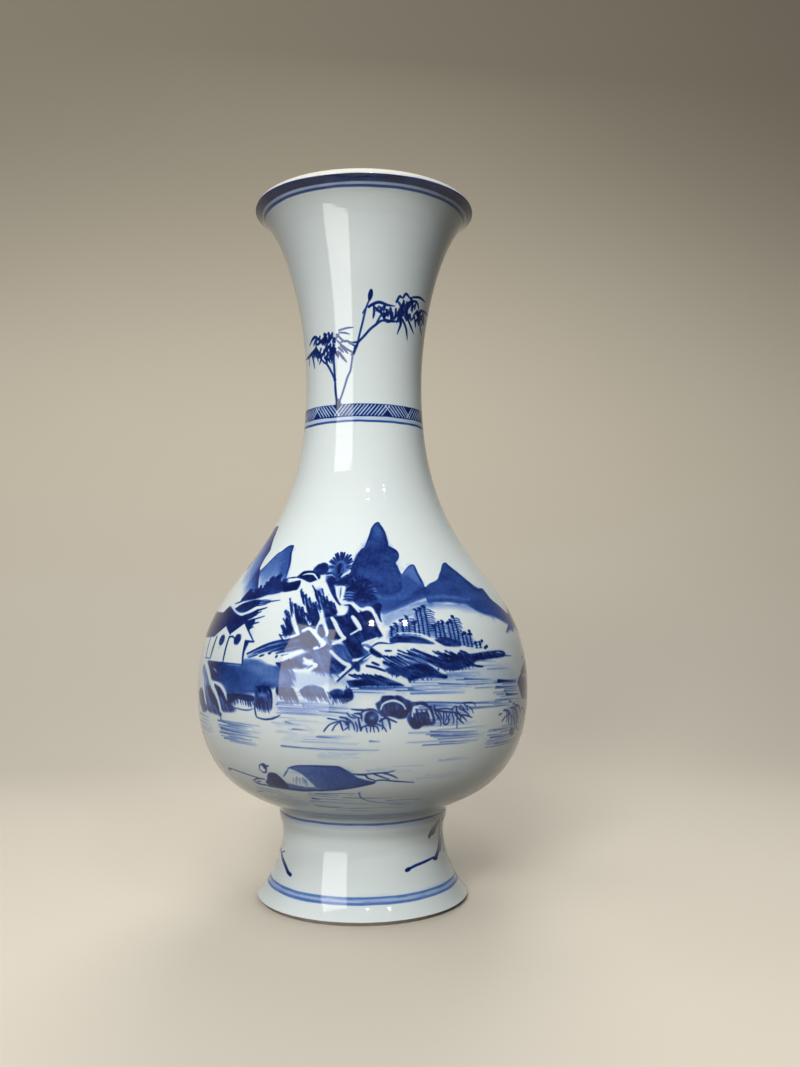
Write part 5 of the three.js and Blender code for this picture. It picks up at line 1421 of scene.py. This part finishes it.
def rows(line, low, high, spacing):
    """Points of a line from height low to height high, about spacing apart along the wall."""
    dense_heights = np.linspace(low, high, DENSE)
    dense = np.column_stack([radius_at(line, dense_heights), dense_heights])
    along = np.concatenate([[0.0], np.cumsum(np.hypot(*np.diff(dense, axis=0).T))])
    stops = np.linspace(0.0, along[-1], max(2, int(round(along[-1] / spacing)) + 1))
    return np.column_stack([np.interp(stops, along, dense[:, 0]), np.interp(stops, along, dense[:, 1])])


print("outline:", len(rows(OUTER_LINE, FOOT_BEVEL_HEIGHT, LIP_WIDEST, 1.0)), "mm along the wall")

# %% The tone at a point
def tone_at(points):
    """The tone of the painting at points in mm, blended between dots of the plane."""
    up = np.interp(points[..., 2], wall_z, wall_climb) / DOT
    across = (np.arctan2(points[..., 0], -points[..., 1]) + math.pi) / DOT
    i, j = np.clip(np.floor(up).astype(int), 0, cobalt.shape[0] - 2), np.floor(across).astype(int)
    fu, fa = np.clip(up - i, 0, 1), across - j

    def pick(up_one, across_one):
        return cobalt[i + up_one, (j + across_one) % TURN_DOTS]

    row = pick(0, 0) * (1 - fa) + pick(0, 1) * fa
    row_above = pick(1, 0) * (1 - fa) + pick(1, 1) * fa
    return row * (1 - fu) + row_above * fu


print("darkest tone", round(float(cobalt.max()), 3))

# %% Refine the painted side
EDGE_SAMPLES, MOST_ROUNDS = 9, 7


def stray(a, b):
    """How far the tone along each edge from a to b strays from a straight blend of its ends."""
    first, last, worst = tone_at(a), tone_at(b), np.zeros(len(a))
    for t in np.linspace(0, 1, EDGE_SAMPLES + 2)[1:-1]:
        worst = np.maximum(worst, np.abs(tone_at(a + (b - a) * t) - (first + (last - first) * t)))
    return worst


def corners(bm):
    """All corner points in mm, and the numbers of each edge's two ends."""
    bm.verts.index_update()
    points = np.array([v.co[:] for v in bm.verts]) / MM
    ends = np.array([(e.verts[0].index, e.verts[1].index) for e in bm.edges])
    return points, ends


def join_middles(face, middles):
    """Splits a triangle that has middles on its sides into smaller ones, corner by corner."""
    ring = list(face.verts)
    for n, corner in enumerate(ring):
        before, after = ring[n - 1], ring[(n + 1) % len(ring)]
        if corner not in middles and before in middles and after in middles:
            made, _ = bmesh.utils.face_split(face, before, after)
            face = max(face, made, key=lambda f: len(f.verts))
    if len(face.verts) == 4:
        a, b, c, d = face.verts
        ways = [pair for pair in ((a, c), (b, d)) if pair[0] in middles or pair[1] in middles]
        bmesh.utils.face_split(face, *min(ways, key=lambda pair: (pair[0].co - pair[1].co).length))


def refine(bm, is_outside, goal, threshold, budget):
    """Splits the outside's edges where the painting changes along them, down to goal mm, within budget."""
    for k in range(MOST_ROUNDS):
        points, ends = corners(bm)
        a, b = points[ends[:, 0]], points[ends[:, 1]]
        long = np.linalg.norm(a - b, axis=1)
        tried = np.flatnonzero(is_outside(a) & is_outside(b) & (long > goal))
        worth = stray(a[tried], b[tried])
        tried, worth = tried[worth > threshold], worth[worth > threshold]
        room = (budget - sum(len(f.verts) - 2 for f in bm.faces)) // 2
        if room < len(tried):
            tried = tried[np.argsort(-worth, kind="stable")[:max(room, 0)]]
        if not len(tried):
            break
        bm.edges.ensure_lookup_table()
        made = bmesh.ops.bisect_edges(bm, edges=[bm.edges[n] for n in np.sort(tried)], cuts=1)
        middles = {g for g in made["geom_split"] if isinstance(g, bmesh.types.BMVert)}
        for face in [f for f in bm.faces if len(f.verts) > 3 and f.material_index == OUTSIDE]:
            join_middles(face, middles)
        bm.verts.ensure_lookup_table()
        points, _ = corners(bm)
        outer = np.flatnonzero(is_outside(points))
        out = radius_at(OUTER_LINE, points[outer, 2]) / np.hypot(points[outer, 0], points[outer, 1])
        for n, r in zip(outer, out):
            x, y, z = points[n]
            bm.verts[n].co = (x * r * MM, y * r * MM, z * MM)
        print("   round", k + 1, len(tried), "edges split,", len(bm.faces), "faces")


print("refine: at most", MOST_ROUNDS, "rounds, each edge tried at", EDGE_SAMPLES, "places")

# %% Spin a section
SHARP_EDGE = math.radians(40)
WALL_TOLERANCE, ROW_TOLERANCE = 0.12, 1e-4     # mm from the true curve that still count as on it
BARE_TOLERANCE = 1e-6


def true_normals(mesh, is_outside):
    """Sets the exact normals of the curve on the outside, so that the gloss runs smoothly."""
    count = len(mesh.loops)
    vert_of = np.empty(count, int)
    mesh.loops.foreach_get("vertex_index", vert_of)
    points = np.empty(len(mesh.vertices) * 3)
    mesh.vertices.foreach_get("co", points)
    points = points.reshape(-1, 3) / MM
    slope = np.gradient(wall_r, wall_z)
    lean = np.interp(points[:, 2], wall_z, slope)
    radial = points[:, :2] / np.maximum(np.hypot(points[:, 0], points[:, 1]), 1e-9)[:, None]
    normals = np.column_stack([radial, -lean])
    normals /= np.linalg.norm(normals, axis=1)[:, None]
    sides, totals = np.empty(len(mesh.polygons), int), np.empty(len(mesh.polygons), int)
    mesh.polygons.foreach_get("material_index", sides)
    mesh.polygons.foreach_get("loop_total", totals)
    painted = np.repeat(sides, totals) == OUTSIDE
    per_corner = np.where((painted & is_outside(points)[vert_of])[:, None], normals[vert_of], 0.0)
    mesh.normals_split_custom_set(per_corner.tolist())
    tone = np.where(is_outside(points), tone_at(points), 0.0)
    mesh.attributes.new("cobalt", "FLOAT", "POINT").data.foreach_set("value", tone.astype(np.float32))


def spin_section(name, outline, bare=None, goal=0.24, threshold=0.09, budget=188000):
    """Spins an outline once round the axis and makes it an object, fine where it is painted.

    outline holds the painted outside from low to high and the rest of the section; between the
    two heights of bare there is no glaze.
    """
    low_outside, high_outside = outline["outside"][0, 1], outline["outside"][-1, 1]

    def is_outside(points):
        r = np.hypot(points[:, 0], points[:, 1])
        level = (points[:, 2] > low_outside - ROW_TOLERANCE) & (points[:, 2] < high_outside + ROW_TOLERANCE)
        return level & (np.abs(r - radius_at(OUTER_LINE, points[:, 2])) < WALL_TOLERANCE)

    bm = bmesh.new()
    line = np.vstack([outline["outside"], *outline["rest"]])
    ring = [bm.verts.new((r * MM, 0.0, z * MM)) for r, z in line]
    edges = [bm.edges.new(pair) for pair in zip(ring, ring[1:] + ring[:1])]
    bmesh.ops.spin(bm, geom=ring + edges, cent=(0, 0, 0), axis=(0, 0, 1), angle=math.tau,
                   steps=TURN, use_merge=True)
    bmesh.ops.remove_doubles(bm, verts=bm.verts, dist=1e-7)
    bmesh.ops.recalc_face_normals(bm, faces=bm.faces)
    for face in bm.faces:
        at = np.array([v.co[:] for v in face.verts]) / MM
        face.material_index = OUTSIDE if is_outside(at).all() else INSIDE
        if bare and at[:, 2].min() >= bare[0] - BARE_TOLERANCE and at[:, 2].max() <= bare[1] + BARE_TOLERANCE:
            face.material_index = BARE
    bmesh.ops.triangulate(bm, faces=[f for f in bm.faces if f.material_index == OUTSIDE])
    print(name)
    refine(bm, is_outside, goal, threshold, budget)
    for face in bm.faces:
        face.smooth = True
    mesh = bpy.data.meshes.new(name)
    bm.to_mesh(mesh)
    bm.free()
    mesh.set_sharp_from_angle(angle=SHARP_EDGE)
    true_normals(mesh, is_outside)
    for material in (glaze_outside, glaze_inside, bare_body):
        mesh.materials.append(material)
    piece = bpy.data.objects.new(name, mesh)
    bpy.context.scene.collection.objects.link(piece)
    print("  ", len(mesh.polygons), "faces,", sum(len(p.vertices) - 2 for p in mesh.polygons), "triangles")
    return piece


def stand_for(piece, node):
    """The piece rides on the vase's one body and shows in place of the solid that was loaded."""
    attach(piece, "root")
    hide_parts(node)


# %% The four sections
half_slip = SLIP_THICKNESS / 2
sections = {
    "trumpet_neck": dict(outside=rows(OUTER_LINE, NECK_SEAM + half_slip, OUTER_LINE[-1, 1], 1.0),
                         rest=[lip_round[LIP_OUTSIDE_STEPS + 2::3],
                               rows(INNER_LINE, NECK_SEAM + half_slip, LIP_TOP, 2.5)[::-1][1:]]),
    "shoulder": dict(outside=rows(OUTER_LINE, BELLY_SEAM + half_slip, NECK_SEAM - half_slip, 1.6),
                     rest=[rows(INNER_LINE, BELLY_SEAM + half_slip, NECK_SEAM - half_slip, 3.0)[::-1]]),
    "bowl": dict(outside=rows(OUTER_LINE, FOOT_SEAM + half_slip, BELLY_SEAM - half_slip, 1.6),
                 rest=[rows(INNER_LINE, floor_height, BELLY_SEAM - half_slip, 3.0)[::-1],
                       [[0.0, FOOT_SEAM + half_slip]]]),
    "foot": dict(outside=rows(OUTER_LINE, FOOT_BEVEL_HEIGHT, FOOT_SEAM - half_slip, 1.2),
                 rest=[rows(FOOT_INNER_LINE, 0.0, FOOT_SEAM - half_slip, 2.0)[::-1],
                       [[FOOT_RADIUS - FOOT_BEVEL_WIDTH, 0.0]]])}
bare_heights = {"foot": (0.0, FOOT_BEVEL_HEIGHT)}
for node, outline in sections.items():
    piece = spin_section(node + "_glazed", outline, bare=bare_heights.get(node))
    stand_for(piece, node)

# %% [markdown]
# ## Slip at the joints
#
# The sections were joined leather-hard with slip, a thin even layer of runny clay. Scraped flush
# and glazed over outside, it can't be told from the wall there; inside, a low bead of it is left
# standing. Each joint is one spun ring that fills the gap between two sections.

# %% Slip rings
BEAD_HEIGHT, BEAD_DEPTH, BEAD_CLEARANCE, BEAD_POINTS = 2.6, 1.1, 0.3, 13
neck_inner = float(radius_at(INNER_LINE, NECK_SEAM))
for node, height, inner, above in (("neck_slip_seam", NECK_SEAM, neck_inner, BEAD_HEIGHT / 2),
                                   ("belly_slip_seam", BELLY_SEAM, inner_belly, BEAD_HEIGHT / 2),
                                   ("foot_slip_seam", FOOT_SEAM, FOOT_JOINT_RADIUS - FOOT_WALL, half_slip)):
    face_radius = inner - BEAD_CLEARANCE
    arc = [(face_radius - BEAD_DEPTH * math.cos(turn),
            height + (above if turn > 0 else BEAD_HEIGHT / 2) * math.sin(turn))
           for turn in np.linspace(math.pi / 2, -math.pi / 2, BEAD_POINTS)]
    if above == half_slip:      # under the floor, the bead starts level with the slip
        arc = arc[1:]
    ring_outline = dict(outside=rows(OUTER_LINE, height - half_slip, height + half_slip, 0.2),
                        rest=[[(face_radius, height + half_slip)], arc, [(face_radius, height - half_slip)]])
    piece = spin_section(node.replace("_seam", "_ring"), ring_outline, budget=40000)
    stand_for(piece, node)

# %% [markdown]
# ## Floor, backdrop and light
#
# A sheet of warm beige paper is swept from the floor up behind the vase. Its colour is graded with
# height, a little paler partway up and much darker at the top: painted light and shade for how the
# lamps fall on the sheet. Most light falls from a soft lamp in front and one above, weak ones behind
# keep the far side from going black, and another evens the paper at the left.
# Two small lamps give the paired glints, and a low pale panel at the front left is mirrored as
# the upright stripe on the neck and foot. The right side gets little, so the form turns dark there.

# %% Floor and backdrop in one sweep
SWEEP_DEPTH, SWEEP_BEND, SWEEP_TOP = 0.95, 0.7, 1.8      # metres
SWEEP_FRONT, SWEEP_WIDTH, BEND_STEPS = -1.2, 3.6, 24
bm = bmesh.new()
profile = [(SWEEP_FRONT, 0.0), (SWEEP_DEPTH - SWEEP_BEND, 0.0)]
for i in range(1, BEND_STEPS + 1):
    turn = math.pi / 2 * i / BEND_STEPS
    profile.append((SWEEP_DEPTH - SWEEP_BEND * (1 - math.sin(turn)), SWEEP_BEND * (1 - math.cos(turn))))
profile.append((SWEEP_DEPTH, SWEEP_TOP))
line = [bm.verts.new((-SWEEP_WIDTH / 2, y, z)) for y, z in profile]
edges = [bm.edges.new(pair) for pair in zip(line, line[1:])]
drawn = bmesh.ops.extrude_edge_only(bm, edges=edges)["geom"]
other_side = [part for part in drawn if isinstance(part, bmesh.types.BMVert)]
bmesh.ops.translate(bm, vec=(SWEEP_WIDTH, 0, 0), verts=other_side)
sweep_mesh = bpy.data.meshes.new("sweep")
bm.to_mesh(sweep_mesh)
bm.free()
sweep_mesh.shade_smooth()
sweep = bpy.data.objects.new("sweep", sweep_mesh)
bpy.context.scene.collection.objects.link(sweep)
print("sweep", len(sweep_mesh.polygons), "faces")

# %% Paper
# the paper's colour at the floor, partway up and at the top: the paler middle and the dark top are painted
# light and shade for how the lamps fall on the sheet
PAPER_FLOOR, PAPER_MIDDLE, PAPER_TOP_SHADE = (0.60, 0.55, 0.465, 1.0), (0.63, 0.57, 0.46, 1.0), (0.35, 0.31,
    0.24, 1.0)
PAPER_DARKEST_HEIGHT, PAPER_MIDDLE_SHARE = 0.8, 0.35      # metres, and the middle tone's share of them
PAPER_BOUNCE = 0.12
WHITE = (1.0, 1.0, 1.0, 1.0)
paper, paper_nodes, paper_links, paper_shader = new_material("paper")
paper_shader.inputs["Roughness"].default_value = 0.9
place_on_sheet = paper_nodes.new("ShaderNodeTexCoord")
axes = paper_nodes.new("ShaderNodeSeparateXYZ")
paper_links.new(place_on_sheet.outputs["Object"], axes.inputs["Vector"])
rise = paper_nodes.new("ShaderNodeMapRange")
rise.inputs["From Max"].default_value = PAPER_DARKEST_HEIGHT
paper_links.new(axes.outputs["Z"], rise.inputs["Value"])
# painted shade: the paper's colour darkens with height up the sheet, where less lamp light reaches
grade = paper_nodes.new("ShaderNodeValToRGB")
paper_links.new(rise.outputs["Result"], grade.inputs["Fac"])
grade.color_ramp.elements[0].color = PAPER_FLOOR
grade.color_ramp.elements[1].color = PAPER_TOP_SHADE
grade.color_ramp.elements.new(PAPER_MIDDLE_SHARE).color = PAPER_MIDDLE
grade.color_ramp.interpolation = "EASE"
grain = blend(paper_nodes, paper_links, noise(paper_nodes, paper_links, 5.0), (0.96, 0.96, 0.96, 1.0), WHITE)
tinted = blend(paper_nodes, paper_links, 1.0, grade.outputs["Color"], grain)
tinted.node.blend_type = "MULTIPLY"
# the paper is that pale to the eye and in the glaze; the light it throws back on the vase is held down
ray = paper_nodes.new("ShaderNodeLightPath")
seen = ray.outputs["Is Camera Ray"]
for way in ("Is Glossy Ray", "Is Transmission Ray"):
    either = paper_nodes.new("ShaderNodeMath")
    either.operation = "MAXIMUM"
    paper_links.new(seen, either.inputs[0])
    paper_links.new(ray.outputs[way], either.inputs[1])
    seen = either.outputs["Value"]
dim = blend(paper_nodes, paper_links, 1.0, tinted, (PAPER_BOUNCE, PAPER_BOUNCE, PAPER_BOUNCE, 1.0))
dim.node.blend_type = "MULTIPLY"
paper_links.new(blend(paper_nodes, paper_links, seen, dim, tinted), paper_shader.inputs["Base Color"])
sweep_mesh.materials.append(paper)
print("paper:", len(paper_nodes), "nodes")

# %% Lamps and room
def soft_box(name, spot, aim, size, power, colour=(1.0, 0.99, 0.97)):
    """A rectangular soft lamp at spot, turned to aim."""
    lamp = bpy.data.lights.new(name, "AREA")
    lamp.shape = "RECTANGLE"
    lamp.size, lamp.size_y = size
    lamp.energy = power
    lamp.color = colour
    holder = bpy.data.objects.new(name, lamp)
    holder.location = spot
    holder.rotation_euler = (Vector(aim) - Vector(spot)).to_track_quat("-Z", "Y").to_euler()
    bpy.context.scene.collection.objects.link(holder)
    return holder


def around(turn, rise, far, height=0.1):
    """A place seen from the vase at turn degrees from the front (left is less), rise degrees up."""
    turn, rise = math.radians(turn), math.radians(rise)
    level = far * math.cos(rise)
    return (level * math.sin(turn), -level * math.cos(turn), height + far * math.sin(rise))


overhead = soft_box("overhead_lamp", around(-22, 70, 1.15), (0, 0, 0.12), (0.7, 0.7), 5.3)
front = soft_box("front_lamp", around(-16, 28, 1.2), (0, 0, 0.12), (0.45, 0.45), 12.0)
behind = soft_box("back_lamp", around(175, 60, 1.1), (0, 0, 0.12), (0.5, 0.5), 2.7)
rear = soft_box("rear_lamp", around(172, 36, 0.8), (0, 0, 0.13), (0.4, 0.4), 0.4)
rear.data.spread = math.radians(60)      # narrow, so that it doesn't light the paper beside it
rear.visible_camera = False              # it hangs before the paper
left_wall = soft_box("backdrop_lamp", (-0.75, 0.25, 0.95), (-0.4, 0.95, 0.4), (0.6, 0.6), 1.8)
for lamp in (overhead, front, behind, rear, left_wall):
    lamp.visible_glossy = False      # so wide and even that the glaze shows no patch of them
panel = soft_box("side_panel", around(-37, 0, 0.37, 0.20), (0, 0, 0.20), (0.215, 0.385), 1.2)
panel.visible_diffuse = False        # only its mirror image in the glaze is wanted
soft_box("right_glint_lamp", around(36, 44, 1.3), (0, 0, 0.12), (0.045, 0.045), 1.0, (0.92, 0.97, 1.0))
soft_box("left_glint_lamp", around(7, 46, 1.3), (0, 0, 0.12), (0.045, 0.045), 1.0)
world = bpy.data.worlds.new("room")
bpy.context.scene.world = world
world.use_nodes = True
room = world.node_tree.nodes["Background"]
room.inputs["Color"].default_value = (0.86, 0.88, 0.90, 1.0)
room.inputs["Strength"].default_value = 0.05
